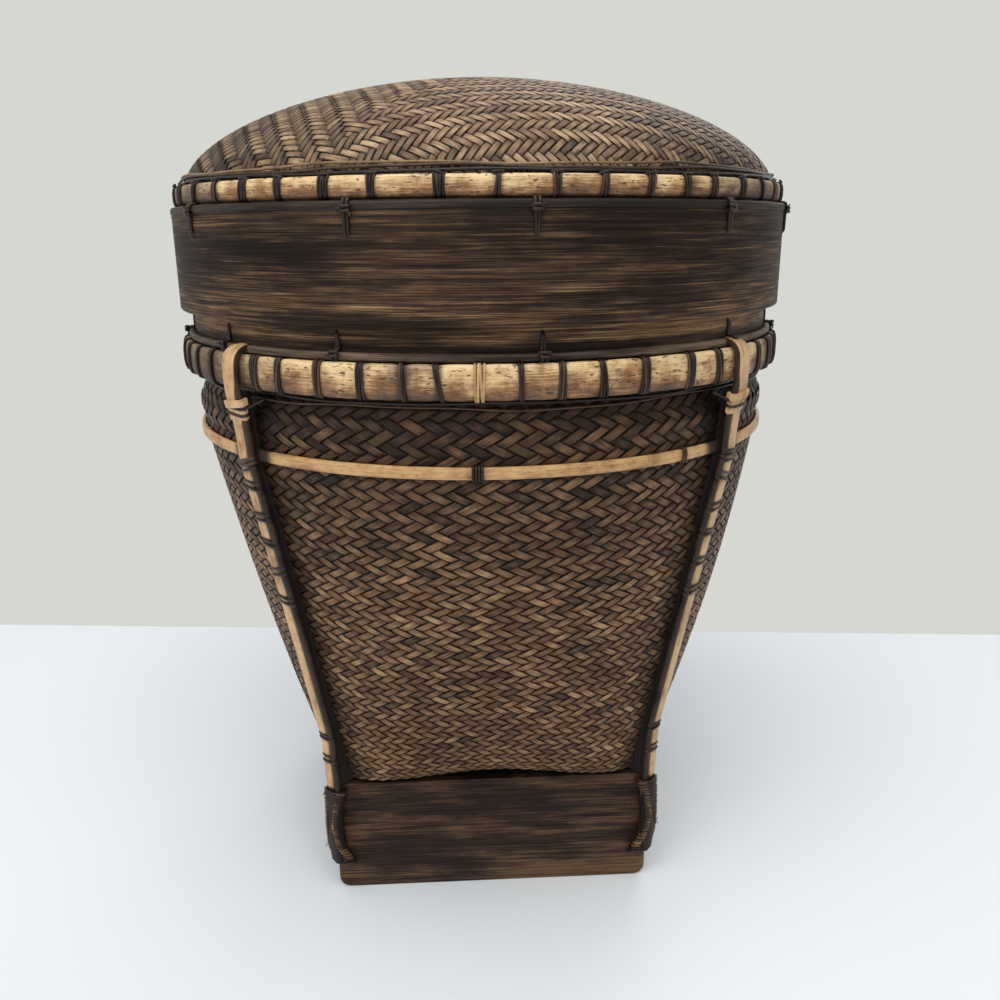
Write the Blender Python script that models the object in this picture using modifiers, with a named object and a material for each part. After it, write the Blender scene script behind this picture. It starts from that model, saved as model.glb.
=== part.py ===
"""Lidded rice basket: a twill woven body on a square board foot, with a domed lift-off lid.

Units are metres, +Z is up and the origin is the middle of the footprint on the ground. The boards of
the foot face X and Y, and the four cane ribs stand on the diagonals. The lid lifts straight up.
"""

import math

import bmesh
import bpy

# Shared fineness of the round pieces, and the clearance that touching pieces keep
RING_SEGMENTS = 48
CLEARANCE = 0.0003

# Board foot
FOOT_HALF_WIDTH = 0.0530
FOOT_HEIGHT = 0.0415
FOOT_BOARD = 0.0030
FOOT_CORNER_ROUND = 0.0030
LACE_INSET = 0.0050
LACE_BOTTOM = 0.0070
LACE_BRIDGE = 0.0020
LACE_STRAND = 0.0010
LACE_STRAND_WIDTH = 0.0023
LACE_PITCH = 0.0028

# Woven body
BODY_WALL = 0.0024
BASE_INSET = 0.0010
BASE_CORNER_ROUND = 0.0030
BASE_ARCH = 0.0030
SIDE_FULLNESS = 0.54
BULGE_INSET = 0.0032
BULGE_RISE = 0.0074
NECK_DROP = 0.0030

# Waist hoop
WAIST_DROP = 0.0243
WAIST_INSET = 0.0028
WAIST_BAND = 0.0014
WAIST_BAND_HEIGHT = 0.0034

# Rim hoop, its lashing, and the hoop inside the mouth
RIM_RADIUS = 0.1000
RIM_HEIGHT = 0.1865
RIM_HOOP = 0.0024
RIM_HOOP_HEIGHT = 0.0094
HOOP_SHOULDER = 0.0016
LASHING = 0.0008
LASHING_WIDTH = 0.0020
LASHING_TURNS = 24
INNER_HOOP = 0.0020
GUARD_CANE = 0.0011

# Collar that the lid slides over, and the edge strip tied round its foot
COLLAR_WALL = 0.0016
COLLAR_RISE = 0.0420
EDGE_STRIP = 0.0018
EDGE_STRIP_HEIGHT = 0.0016
TIE_CANE = 0.0009
TIE_COUNT = 6
COLLAR_STITCH = 0.0045
LID_STITCH = 0.0120

# Corner ribs, two canes side by side
RIB_WIDTH = 0.0033
RIB_THICKNESS = 0.0016
RIB_SPACING = 0.0004
RIB_FOOT_TAPER = 0.86
RIB_LASHING_WIDTH = 0.0016
RIB_LASHING_PITCH = 0.0090
RIB_UPPER_TURNS = 6
RIB_LOWER_TURNS = 2
RIB_LASHING_DROP = 0.0055
RIB_LASHING_RISE = 0.0110
HEAD_WRAP_HEIGHT = 0.0030

# Lid
LID_RUNNING_GAP = 0.0005
LID_BAND = 0.0034
LID_BAND_HEIGHT = 0.0274
LID_BAND_DROP = 0.0010
DOME_INSET = 0.0008
LID_WALL = 0.0024
LID_HOOP = 0.0018
LID_HOOP_HEIGHT = 0.0054
DOME_RISE = 0.0335
DOME_FULLNESS = 1.8

# Colours of the finishes, linear
DARK_WEAVE = (0.120, 0.085, 0.055)
DOME_WEAVE = (0.220, 0.165, 0.100)
GOLD_CANE = (0.560, 0.350, 0.140)
PALE_CANE = (0.510, 0.310, 0.150)
BROWN_CANE = (0.070, 0.040, 0.022)
BLACK_CANE = (0.030, 0.020, 0.018)
DARK_BAMBOO = (0.050, 0.032, 0.022)

FULL_TURN = 2.0 * math.pi
STEP_ANGLE = FULL_TURN / RING_SEGMENTS
CORNERS = {"front_right": -45.0, "back_right": 45.0, "back_left": 135.0, "front_left": -135.0}
SIDES = {"front": 0.0, "right": 90.0, "back": 180.0, "left": 270.0}

# Radii and heights that follow from the driving sizes
rim_bottom = RIM_HEIGHT - RIM_HOOP_HEIGHT / 2.0
rim_top = RIM_HEIGHT + RIM_HOOP_HEIGHT / 2.0
rim_hoop_inside = RIM_RADIUS - RIM_HOOP
collar_radius = rim_hoop_inside - LASHING - 2.0 * CLEARANCE
collar_inside = collar_radius - COLLAR_WALL
rim_wall_radius = collar_inside - CLEARANCE
inner_hoop_radius = rim_wall_radius - BODY_WALL - CLEARANCE
waist_radius = RIM_RADIUS - WAIST_INSET
waist_wall_radius = waist_radius - WAIST_BAND - CLEARANCE
waist_height = RIM_HEIGHT - WAIST_DROP
waist_bottom = waist_height - WAIST_BAND_HEIGHT / 2.0
waist_top = waist_height + WAIST_BAND_HEIGHT / 2.0
bulge_radius = RIM_RADIUS - BULGE_INSET
bulge_height = waist_top + BULGE_RISE
base_half_width = FOOT_HALF_WIDTH - BASE_INSET
base_corner = base_half_width * math.sqrt(2.0) - BASE_CORNER_ROUND
fold_height = rim_top + CLEARANCE + RIB_THICKNESS / 2.0
collar_top = RIM_HEIGHT + COLLAR_RISE
collar_strip_bottom = rim_top + 2.0 * CLEARANCE + RIB_THICKNESS
collar_strip_top = collar_strip_bottom + EDGE_STRIP_HEIGHT
body_base = FOOT_HEIGHT + CLEARANCE
lid_seat = collar_top + CLEARANCE
band_radius = collar_radius + LID_RUNNING_GAP + LID_BAND
band_top = lid_seat - LID_BAND_DROP
band_bottom = band_top - LID_BAND_HEIGHT
lid_strip_bottom = band_top + CLEARANCE
lid_strip_top = lid_strip_bottom + EDGE_STRIP_HEIGHT
lid_hoop_bottom = lid_strip_top + 2.0 * CLEARANCE + TIE_CANE
lid_hoop_top = lid_hoop_bottom + LID_HOOP_HEIGHT
lid_wall_radius = collar_radius - DOME_INSET
lid_hoop_inside = lid_wall_radius + LASHING + 2.0 * CLEARANCE
lid_hoop_radius = lid_hoop_inside + LID_HOOP
rib_pair_half_width = RIB_WIDTH + RIB_SPACING / 2.0
rib_foot_half_width = rib_pair_half_width - RIB_WIDTH * (1.0 - RIB_FOOT_TAPER) / 2.0
rib_standoff = LASHING + 3.0 * CLEARANCE + RIB_THICKNESS / 2.0
rib_foot_radius = FOOT_HALF_WIDTH * math.sqrt(2.0) + CLEARANCE + RIB_THICKNESS / 2.0


def clear_scene():
    """Remove the objects of the open file and the collections made by an earlier run."""
    for item in list(bpy.data.objects):
        bpy.data.objects.remove(item, do_unlink=True)
    for group in list(bpy.data.collections):
        bpy.data.collections.remove(group)


def new_collection(name):
    """Add a collection to the scene."""
    group = bpy.data.collections.new(name)
    bpy.context.scene.collection.children.link(group)
    return group


def finish(item, colour, roughness, parent=None):
    """Put an object in the basket with a material of its own."""
    material = bpy.data.materials.new(item.name + "_finish")
    material.use_nodes = True
    shader = material.node_tree.nodes["Principled BSDF"]
    shader.inputs["Base Color"].default_value = (*colour, 1.0)
    shader.inputs["Roughness"].default_value = roughness
    shader.inputs["Metallic"].default_value = 0.0
    material.diffuse_color = (*colour, 1.0)
    item.data.materials.append(material)
    basket.objects.link(item)
    item.parent = parent
    return item


def guide_profile(name, outline):
    """A hidden flat outline that canes are drawn along: X is through the cane, Y across it."""
    curve = bpy.data.curves.new(name, "CURVE")
    curve.dimensions = "2D"
    spline = curve.splines.new("POLY")
    spline.points.add(len(outline) - 1)
    for point, (through, across) in zip(spline.points, reversed(outline)):
        point.co = (through, across, 0.0, 1.0)
    spline.use_cyclic_u = True
    item = bpy.data.objects.new(name, curve)
    item.hide_render = True
    item.display_type = "WIRE"
    guides.objects.link(item)
    return item


def flat_outline(thickness, width):
    """Corners of a flat strip's cross-section."""
    x, y = thickness / 2.0, width / 2.0
    return [(-x, -y), (x, -y), (x, y), (-x, y)]


def crowned_outline(thickness, width):
    """Cross-section of a split cane: flat behind and rounded in front."""
    x, y = thickness / 2.0, width / 2.0
    return [(-x, -y), (x * 0.2, -y), (x, -y * 0.5), (x, y * 0.5), (x * 0.2, y), (-x, y)]


def drawn_cane(name, points, profile, upright=False, radii=None):
    """One unbroken cane: a profile drawn along a path of points."""
    curve = bpy.data.curves.new(name, "CURVE")
    curve.dimensions = "3D"
    curve.twist_mode = "Z_UP" if upright else "MINIMUM"
    spline = curve.splines.new("POLY")
    spline.points.add(len(points) - 1)
    for index, (point, place) in enumerate(zip(spline.points, points)):
        point.co = (*place, 1.0)
        point.radius = radii[index] if radii else 1.0
    curve.bevel_mode = "OBJECT"
    curve.bevel_object = profile
    curve.use_fill_caps = True
    return bpy.data.objects.new(name, curve)


def round_cane(name, points, diameter):
    """A thin round cane along a path of points."""
    curve = bpy.data.curves.new(name, "CURVE")
    curve.dimensions = "3D"
    spline = curve.splines.new("POLY")
    spline.points.add(len(points) - 1)
    for point, place in zip(spline.points, points):
        point.co = (*place, 1.0)
    curve.bevel_depth = diameter / 2.0
    curve.bevel_resolution = 0
    curve.use_fill_caps = True
    return bpy.data.objects.new(name, curve)


def turn_about_axis(item, profile, closed):
    """Give a mesh object a profile of (radius, height) points and turn it about the Z axis."""
    mesh = item.data
    count = len(profile)
    edges = [(index, (index + 1) % count) for index in range(count if closed else count - 1)]
    mesh.from_pydata([(radius, 0.0, height) for radius, height in profile], edges, [])
    screw = item.modifiers.new("turned", "SCREW")
    screw.axis = "Z"
    screw.angle = FULL_TURN
    screw.steps = RING_SEGMENTS
    screw.render_steps = RING_SEGMENTS
    screw.use_merge_vertices = True
    screw.merge_threshold = 0.00001
    screw.use_smooth_shade = True
    return item


def turned_ring(name, profile):
    """A hoop or band: a closed profile, down its outer side first, turned about the Z axis."""
    return turn_about_axis(bpy.data.objects.new(name, bpy.data.meshes.new(name)), profile, True)


def band_profile(inside, outside, bottom, top):
    """Corners of a plain band."""
    return [(outside, top), (outside, bottom), (inside, bottom), (inside, top)]


def split_hoop_profile(inside, outside, bottom, top, shoulder):
    """A split cane hoop: flat inside, with its outer face rounded over at both edges."""
    near = outside - shoulder * 0.3
    return [
        (outside - shoulder, top),
        (near, top - shoulder * 0.7),
        (outside, top - shoulder * 1.6),
        (outside, bottom + shoulder * 1.6),
        (near, bottom + shoulder * 0.7),
        (outside - shoulder, bottom),
        (inside, bottom),
        (inside, top),
    ]


def at_angle(radius, angle, height):
    """Point at a radius and an angle about the Z axis."""
    return (radius * math.cos(angle), radius * math.sin(angle), height)


def base_height(angle):
    """Height of the woven base's edge, which stands on its corners and arches between them."""
    return body_base + BASE_ARCH * math.cos(2.0 * angle) ** 2


def section_radius(side, corner, angle):
    """Radius of a body section, from its half-width at the sides and its reach at the corners."""
    power = 1.0 / max(0.02, 0.5 - math.log2(corner / side))
    spread = abs(math.cos(angle)) ** power + abs(math.sin(angle)) ** power
    return side / spread ** (1.0 / power)


def belly_side(share):
    """Half-width at the sides, from the base at 0 to the waist hoop at 1."""
    return base_half_width + (waist_wall_radius - base_half_width) * share ** SIDE_FULLNESS


def belly_corner(share):
    """Reach at the corners, from the base at 0 to the waist hoop at 1."""
    return base_corner + (waist_wall_radius - base_corner) * share


def body_rows():
    """Rows of the body's outer surface as functions of the angle, from the rim down to the base."""
    rows = []
    upper = [
        (rim_top - CLEARANCE, rim_wall_radius),
        (rim_bottom - NECK_DROP, rim_wall_radius),
        (bulge_height, bulge_radius),
        (waist_top + CLEARANCE, waist_wall_radius),
    ]
    for height, radius in upper:
        rows.append([at_angle(radius, step * STEP_ANGLE, height) for step in range(RING_SEGMENTS)])
    for share in (1.0, 0.80, 0.56, 0.33, 0.16, 0.05, 0.0):
        row = []
        for step in range(RING_SEGMENTS):
            angle = step * STEP_ANGLE
            radius = section_radius(belly_side(share), belly_corner(share), angle)
            low = base_height(angle)
            high = waist_bottom - CLEARANCE
            row.append(at_angle(radius, angle, low + (high - low) * share))
        rows.append(row)
    return rows


def floor_row(reach):
    """Row of the floor, a share of the way out from the middle to the base's edge."""
    row = []
    for step in range(RING_SEGMENTS):
        angle = step * STEP_ANGLE
        radius = section_radius(base_half_width, base_corner, angle)
        height = body_base + BASE_ARCH + (base_height(angle) - body_base - BASE_ARCH) * reach
        row.append(at_angle(radius * reach, angle, height))
    return row


def make_body():
    """The woven body: a loft from the round rim to the square base, with its floor, made a shell."""
    rows = body_rows() + [floor_row(0.85)]
    shell = bmesh.new()
    rings = [[shell.verts.new(place) for place in row] for row in rows]
    for upper, lower in zip(rings, rings[1:]):
        for index in range(RING_SEGMENTS):
            following = (index + 1) % RING_SEGMENTS
            shell.faces.new((upper[index], lower[index], lower[following], upper[following]))
    middle = shell.verts.new((0.0, 0.0, body_base + BASE_ARCH))
    for index in range(RING_SEGMENTS):
        shell.faces.new((rings[-1][index], middle, rings[-1][(index + 1) % RING_SEGMENTS]))
    mesh = bpy.data.meshes.new("basket_body")
    shell.to_mesh(mesh)
    shell.free()
    mesh.shade_smooth()
    item = bpy.data.objects.new("basket_body", mesh)
    add_wall(item, BODY_WALL)
    return finish(item, DARK_WEAVE, 0.75)


def add_wall(item, thickness):
    """Give an outer surface its thickness, inwards."""
    wall = item.modifiers.new("wall", "SOLIDIFY")
    wall.thickness = thickness
    wall.offset = -1.0
    wall.use_even_offset = True
    return item


def ribbon(name, lines, thickness):
    """One unbroken flat strand: a strip between the ends of the lines across it, made solid."""
    strip = bmesh.new()
    pairs = []
    for middle, across in lines:
        pairs.append([
            strip.verts.new([m - sign * a for m, a in zip(middle, across)]) for sign in (1.0, -1.0)
        ])
    for (left, right), (next_left, next_right) in zip(pairs, pairs[1:]):
        strip.faces.new((left, right, next_right, next_left))
    mesh = bpy.data.meshes.new(name)
    strip.to_mesh(mesh)
    strip.free()
    item = bpy.data.objects.new(name, mesh)
    solid = item.modifiers.new("thickness", "SOLIDIFY")
    solid.thickness = thickness
    solid.offset = 0.0
    solid.use_even_offset = True
    return item


def wrap_places(inside, outside, bottom, top, shoulder):
    """Path of one turn of strand round a hoop's section, as (radius, height), from behind."""
    off = CLEARANCE + LASHING / 2.0
    lane = LASHING_WIDTH / 2.0 + CLEARANCE
    middle = (bottom + top) / 2.0
    behind = inside - off
    front = outside + off
    ease = shoulder * 1.3
    return [
        (behind, middle + lane),
        (behind, top + off),
        (outside - shoulder * 0.6, top + off),
        (front, top - ease),
        (front, bottom + ease),
        (outside - shoulder * 0.6, bottom - off),
        (behind, bottom - off),
        (behind, middle - lane),
    ]


def hoop_lashing(name, inside, outside, bottom, top, shoulder):
    """One strand wound round a hoop: a turn at each place, and a run behind the hoop between them."""
    section = wrap_places(inside, outside, bottom, top, shoulder)
    spacing = FULL_TURN / LASHING_TURNS
    half = LASHING_WIDTH / 2.0
    lines = []
    for turn in range(LASHING_TURNS):
        angle = (turn + 0.5) * spacing
        along = (half * math.sin(angle), -half * math.cos(angle))
        for index, (radius, height) in enumerate(section):
            corner = (index == 0 and turn > 0) or (index == 7 and turn < LASHING_TURNS - 1)
            lines.append((at_angle(radius, angle, height), (*along, half if corner else 0.0)))
        if turn < LASHING_TURNS - 1:
            run = at_angle(section[0][0], angle + spacing / 2.0, (bottom + top) / 2.0)
            lines.append((run, (0.0, 0.0, half)))
    report_gap(name, lines, LASHING_WIDTH, (spacing / 2.0) * inside)
    return ribbon(name, lines, LASHING)


def report_gap(name, lines, width, spacing):
    """Print the least gap between a strand's turns, from its points and its runs' spacing."""
    least = spacing
    for first in range(len(lines)):
        for second in range(first + 7, min(first + 40, len(lines))):
            least = min(least, math.dist(lines[first][0], lines[second][0]))
    print(f"{name}: least gap between its turns {1000.0 * (least - width):.2f} mm")


def rib_path():
    """Middle line of a corner rib as (radius, height), from the foot up and over the rim hoop."""
    places = [(rib_foot_radius, LACE_BOTTOM + CLEARANCE), (rib_foot_radius, FOOT_HEIGHT)]
    for share in (0.16, 0.33, 0.56, 0.80):
        height = body_base + (waist_bottom - CLEARANCE - body_base) * share
        places.append((max(rib_foot_radius, belly_corner(share) + rib_standoff), height))
    over_waist = waist_radius + CLEARANCE + RIB_THICKNESS / 2.0
    over_bulge = bulge_radius + rib_standoff - CLEARANCE
    over_rim = RIM_RADIUS + CLEARANCE + RIB_THICKNESS / 2.0
    places += [
        (over_waist, waist_bottom),
        (over_waist, waist_top),
        (max(over_waist, over_bulge), bulge_height),
        (over_rim, rim_bottom),
        (over_rim, rim_top - RIB_THICKNESS),
        (over_rim - RIB_THICKNESS * 0.5, rim_top),
        (over_rim - RIB_THICKNESS * 1.5, fold_height),
        (collar_radius + CLEARANCE, fold_height),
    ]
    return places


def rib_course(height):
    """Radius of the rib's middle line at a height below the rim, and its course as (out, up)."""
    path = rib_path()
    for (low_radius, low), (high_radius, high) in zip(path, path[1:]):
        if low <= height <= high:
            length = math.dist((low_radius, low), (high_radius, high))
            course = ((high_radius - low_radius) / length, (high - low) / length)
            return low_radius + (high_radius - low_radius) * (height - low) / (high - low), course
    return path[0][0], (0.0, 1.0)


def rib_turn(height, width, lane, first, last):
    """Lines of one turn of strand round a rib's two canes, square to the rib's course."""
    radius, (out, up) = rib_course(height)
    depth = RIB_THICKNESS / 2.0 + CLEARANCE * 1.5 + LASHING / 2.0
    side = rib_pair_half_width + CLEARANCE + LASHING / 2.0
    half = width / 2.0
    lines = []
    round_both = [(-1.0, lane), (-1.0, side), (1.0, side), (1.0, -side), (-1.0, -side), (-1.0, -lane)]
    for through, across in round_both:
        place = (radius + through * depth * up, across, height - through * depth * out)
        lines.append((place, (half * out, 0.0, half * up)))
    lines[0] = (lines[0][0], (half * out, first, half * up))
    lines[-1] = (lines[-1][0], (half * out, last, half * up))
    return lines


def make_ribs(corner, degrees):
    """The two canes of one corner rib, side by side, folded over the rim hoop."""
    turn = math.radians(degrees)
    path = rib_path()
    radii = [RIB_FOOT_TAPER if height <= FOOT_HEIGHT else 1.0 for radius, height in path]
    offset = (RIB_WIDTH + RIB_SPACING) / 2.0
    foot_offset = (RIB_WIDTH * RIB_FOOT_TAPER + RIB_SPACING) / 2.0
    for side, sign in (("left", 1.0), ("right", -1.0)):
        points = []
        for radius, height in path:
            apart = foot_offset if height <= FOOT_HEIGHT else offset
            points.append((radius, sign * apart, height))
        name = f"rib_{corner}_{side}"
        cane = drawn_cane(name, points, rib_profile, radii=radii)
        cane.rotation_euler = (0.0, 0.0, turn)
        outer = (side == "left") == (corner in ("front_right", "back_left"))
        finish(cane, PALE_CANE if outer else BROWN_CANE, 0.5)


def rib_turns():
    """Heights of the turns of a rib's lashing, from the waist down."""
    first = waist_bottom - RIB_LASHING_DROP
    upper = [first - turn * RIB_LASHING_PITCH for turn in range(RIB_UPPER_TURNS)]
    lowest = FOOT_HEIGHT + RIB_LASHING_RISE
    lower = [lowest + turn * RIB_LASHING_PITCH for turn in reversed(range(RIB_LOWER_TURNS))]
    return upper + [height for height in lower if height < upper[-1] - RIB_LASHING_PITCH / 2.0]


def rib_lashing(corner, degrees):
    """One strand that binds a rib's canes: turns round both, and runs behind them."""
    lane = RIB_LASHING_WIDTH / 2.0 + CLEARANCE
    half = RIB_LASHING_WIDTH / 2.0
    heights = rib_turns()
    lines = []
    for turn, height in enumerate(heights):
        first = half if turn > 0 else 0.0
        last = half if turn + 1 < len(heights) else 0.0
        lines += rib_turn(height, RIB_LASHING_WIDTH, lane, first, last)
        if turn + 1 < len(heights):
            low, high = heights[turn + 1] + RIB_LASHING_WIDTH, height - RIB_LASHING_WIDTH
            for radius, knot in reversed(rib_path()):
                if low < knot < high:
                    behind = RIB_THICKNESS / 2.0 + CLEARANCE * 1.5 + LASHING / 2.0
                    lines.append(((radius - behind, 0.0, knot), (0.0, half, 0.0)))
    name = f"rib_lashing_{corner}"
    report_gap(name, lines, RIB_LASHING_WIDTH, RIB_LASHING_PITCH)
    strand = ribbon(name, lines, LASHING)
    strand.rotation_euler = (0.0, 0.0, math.radians(degrees))
    return finish(strand, BLACK_CANE, 0.55)


def head_wrap(corner, degrees):
    """The pale strip wrapped once round a rib just under the rim hoop."""
    height = rim_bottom - LASHING - 2.0 * CLEARANCE - HEAD_WRAP_HEIGHT / 2.0
    lines = rib_turn(height, HEAD_WRAP_HEIGHT, LASHING, 0.0, 0.0)
    strip = ribbon(f"rib_head_wrap_{corner}", lines, LASHING)
    strip.rotation_euler = (0.0, 0.0, math.radians(degrees))
    return finish(strip, PALE_CANE, 0.5)


def slot_outline(middle):
    """Slot that a foot board's lacing passes through, as points round the opening."""
    half = LACE_STRAND / 2.0 + CLEARANCE
    top = FOOT_HEIGHT - LACE_BRIDGE
    left, right = middle - half, middle + half
    return [(left, LACE_BOTTOM), (right, LACE_BOTTOM), (right, top), (left, top)]


def board_outline():
    """Outline of a foot board, with its lower corners rounded."""
    round_off = FOOT_CORNER_ROUND
    half = FOOT_HALF_WIDTH
    outline = [(half, FOOT_HEIGHT), (-half, FOOT_HEIGHT)]
    for sign, start in ((-1.0, 180.0), (1.0, 270.0)):
        for step in range(4):
            angle = math.radians(start + 30.0 * step)
            outline.append((
                sign * (half - round_off) + round_off * math.cos(angle),
                round_off + round_off * math.sin(angle),
            ))
    return outline


def make_foot_board(side, degrees):
    """One board of the foot, slotted for its lacing and mitred against its neighbours."""
    curve = bpy.data.curves.new("board", "CURVE")
    curve.dimensions = "2D"
    curve.fill_mode = "BOTH"
    curve.extrude = FOOT_BOARD / 2.0
    lace = FOOT_HALF_WIDTH - LACE_INSET
    for outline in (board_outline(), slot_outline(lace), slot_outline(-lace)):
        spline = curve.splines.new("POLY")
        spline.points.add(len(outline) - 1)
        for point, (x, y) in zip(spline.points, outline):
            point.co = (x, y, 0.0, 1.0)
        spline.use_cyclic_u = True
    flat = bpy.data.objects.new("board", curve)
    guides.objects.link(flat)
    bpy.context.view_layer.update()
    mesh = bpy.data.meshes.new_from_object(flat.evaluated_get(bpy.context.evaluated_depsgraph_get()))
    bpy.data.objects.remove(flat, do_unlink=True)
    shape = bmesh.new()
    shape.from_mesh(mesh)
    bmesh.ops.remove_doubles(shape, verts=shape.verts, dist=0.00001)
    middle = FOOT_HALF_WIDTH - FOOT_BOARD / 2.0
    for vertex in shape.verts:
        x, height, depth = vertex.co
        if abs(x) > lace + LACE_STRAND:
            away = (FOOT_BOARD / 2.0 - depth) + CLEARANCE / 2.0
            x = math.copysign(abs(x) - away, x)
        vertex.co = (x, depth - 2.0 * depth - middle, height)
    bmesh.ops.recalc_face_normals(shape, faces=shape.faces)
    shape.to_mesh(mesh)
    shape.free()
    mesh.name = f"foot_board_{side}"
    item = bpy.data.objects.new(f"foot_board_{side}", mesh)
    item.rotation_euler = (0.0, 0.0, math.radians(degrees))
    return finish(item, DARK_BAMBOO, 0.5)


def lacing_outline():
    """One turn of the foot lacing as (reach along the corner's diagonal, offset across it)."""
    slot = FOOT_HALF_WIDTH - LACE_INSET
    off = CLEARANCE + LACE_STRAND / 2.0
    outer = rib_foot_radius + RIB_THICKNESS / 2.0 + off
    outer_half = rib_foot_half_width + off
    beside = FOOT_HALF_WIDTH + off + CLEARANCE
    diagonal = math.sqrt(2.0)
    side_reach = (slot + beside) / diagonal
    side_offset = (beside - slot) / diagonal
    return [
        (slot * diagonal, 0.0),
        (side_reach, side_offset),
        (outer, outer_half),
        (outer, -outer_half),
        (side_reach, -side_offset),
    ]


def foot_lacing(corner, degrees):
    """One strand wound up a corner of the foot, through both boards and round the rib's end."""
    outline = lacing_outline()
    count = len(outline)
    lowest = LACE_BOTTOM + CLEARANCE + LACE_STRAND_WIDTH / 2.0
    highest = FOOT_HEIGHT - LACE_BRIDGE - CLEARANCE - LACE_STRAND_WIDTH / 2.0
    turns = int((highest - lowest) / LACE_PITCH)
    points = []
    for index in range(turns * count + 1):
        reach, offset = outline[index % count]
        points.append((reach, offset, lowest + LACE_PITCH * index / count))
    name = f"foot_lacing_{corner}"
    print(f"{name}: {turns} turns, {1000.0 * (LACE_PITCH - LACE_STRAND_WIDTH):.2f} mm apart")
    strand = drawn_cane(name, points, lace_profile, upright=True)
    strand.rotation_euler = (0.0, 0.0, math.radians(degrees))
    return finish(strand, BLACK_CANE, 0.6)


def collar_tie(index):
    """A tie that holds the collar's edge strip: down the collar and over the strip's face."""
    angle = (index + 0.5) * FULL_TURN / TIE_COUNT
    off = CLEARANCE + TIE_CANE / 2.0
    wall = collar_radius + off
    front = collar_radius + CLEARANCE + EDGE_STRIP + off
    ease = TIE_CANE * 0.4
    path = [
        (wall, collar_strip_top + COLLAR_STITCH),
        (wall, collar_strip_top + off + ease),
        (wall + ease, collar_strip_top + off),
        (front - ease, collar_strip_top + off),
        (front, collar_strip_top + off - ease),
        (front, collar_strip_bottom),
    ]
    points = [at_angle(radius, angle, height) for radius, height in path]
    return finish(round_cane(f"collar_tie_{index + 1}", points, TIE_CANE), BLACK_CANE, 0.55)


def lid_tie(index, lid):
    """A tie that holds the lid's edge strip: up the band's face and back over the strip."""
    angle = (index + 0.5) * FULL_TURN / TIE_COUNT
    off = CLEARANCE + TIE_CANE / 2.0
    front = band_radius + off
    path = [
        (front, band_top - LID_STITCH),
        (front, lid_strip_bottom),
        (front - TIE_CANE * 0.6, lid_strip_top + off),
        (lid_wall_radius + TIE_CANE * 2.0, lid_strip_top + off),
    ]
    points = [at_angle(radius, angle, height) for radius, height in path]
    return finish(round_cane(f"lid_tie_{index + 1}", points, TIE_CANE), BLACK_CANE, 0.55, lid)


def waist_tie(side, degrees):
    """A tie over the waist hoop, from the wall above it to the wall below."""
    angle = math.radians(degrees)
    off = CLEARANCE + TIE_CANE / 2.0
    front = waist_radius + off
    path = [
        (waist_wall_radius + 2.0 * off, waist_top + off),
        (front, waist_top),
        (front, waist_bottom),
        (waist_wall_radius + 2.0 * off, waist_bottom - off),
    ]
    points = [at_angle(radius, angle, height) for radius, height in path]
    return finish(round_cane(f"waist_tie_{side}", points, TIE_CANE), BLACK_CANE, 0.55)


def dome_profile():
    """Outer line of the lid's dome, from its top down to the seat."""
    base = lid_hoop_top
    profile = [(0.0, base + DOME_RISE)]
    for share in (0.30, 0.55, 0.75, 0.89, 0.97):
        rise = (1.0 - share ** DOME_FULLNESS) ** (1.0 / DOME_FULLNESS)
        profile.append((lid_wall_radius * share, base + DOME_RISE * rise))
    profile += [(lid_wall_radius, base), (lid_wall_radius, lid_seat)]
    return profile


def make_rim():
    """Hoops, lashing and guard cane at the mouth of the body."""
    profile = split_hoop_profile(rim_hoop_inside, RIM_RADIUS, rim_bottom, rim_top, HOOP_SHOULDER)
    finish(turned_ring("rim_hoop", profile), GOLD_CANE, 0.45)
    inner = band_profile(inner_hoop_radius - INNER_HOOP, inner_hoop_radius, rim_bottom, rim_top - CLEARANCE)
    finish(turned_ring("rim_inner_hoop", inner), DARK_BAMBOO, 0.5)
    strand = hoop_lashing("rim_lashing", rim_hoop_inside, RIM_RADIUS, rim_bottom, rim_top, HOOP_SHOULDER)
    finish(strand, BLACK_CANE, 0.5)
    low = rim_bottom - LASHING - 2.0 * CLEARANCE - GUARD_CANE
    guard = guard_profile(rim_wall_radius + CLEARANCE, low)
    finish(turned_ring("rim_guard_cane", guard), BLACK_CANE, 0.5)


def guard_profile(inside, bottom):
    """Diamond section of a thin cane that lies against a wall."""
    half = GUARD_CANE / 2.0
    return [
        (inside + half, bottom + GUARD_CANE),
        (inside + GUARD_CANE, bottom + half),
        (inside + half, bottom),
        (inside, bottom + half),
    ]


def make_collar():
    """Bamboo collar that stands up inside the rim hoop, with its edge strip and ties."""
    collar = band_profile(collar_inside, collar_radius, rim_bottom, collar_top)
    finish(turned_ring("collar_band", collar), DARK_BAMBOO, 0.45)
    inside = collar_radius + CLEARANCE
    strip = band_profile(inside, inside + EDGE_STRIP, collar_strip_bottom, collar_strip_top)
    finish(turned_ring("collar_edge_strip", strip), DARK_BAMBOO, 0.5)
    for index in range(TIE_COUNT):
        collar_tie(index)


def make_waist():
    """Flat hoop round the waist of the body, with its ties."""
    hoop = band_profile(waist_radius - WAIST_BAND, waist_radius, waist_bottom, waist_top)
    finish(turned_ring("waist_hoop", hoop), PALE_CANE, 0.45)
    for side, degrees in SIDES.items():
        waist_tie(side, degrees - 90.0)


def make_corners():
    """Ribs, their lashings and head wraps, and the lacing of the foot, at the four corners."""
    for corner, degrees in CORNERS.items():
        make_ribs(corner, degrees)
        rib_lashing(corner, degrees)
        head_wrap(corner, degrees)
        foot_lacing(corner, degrees)


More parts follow.
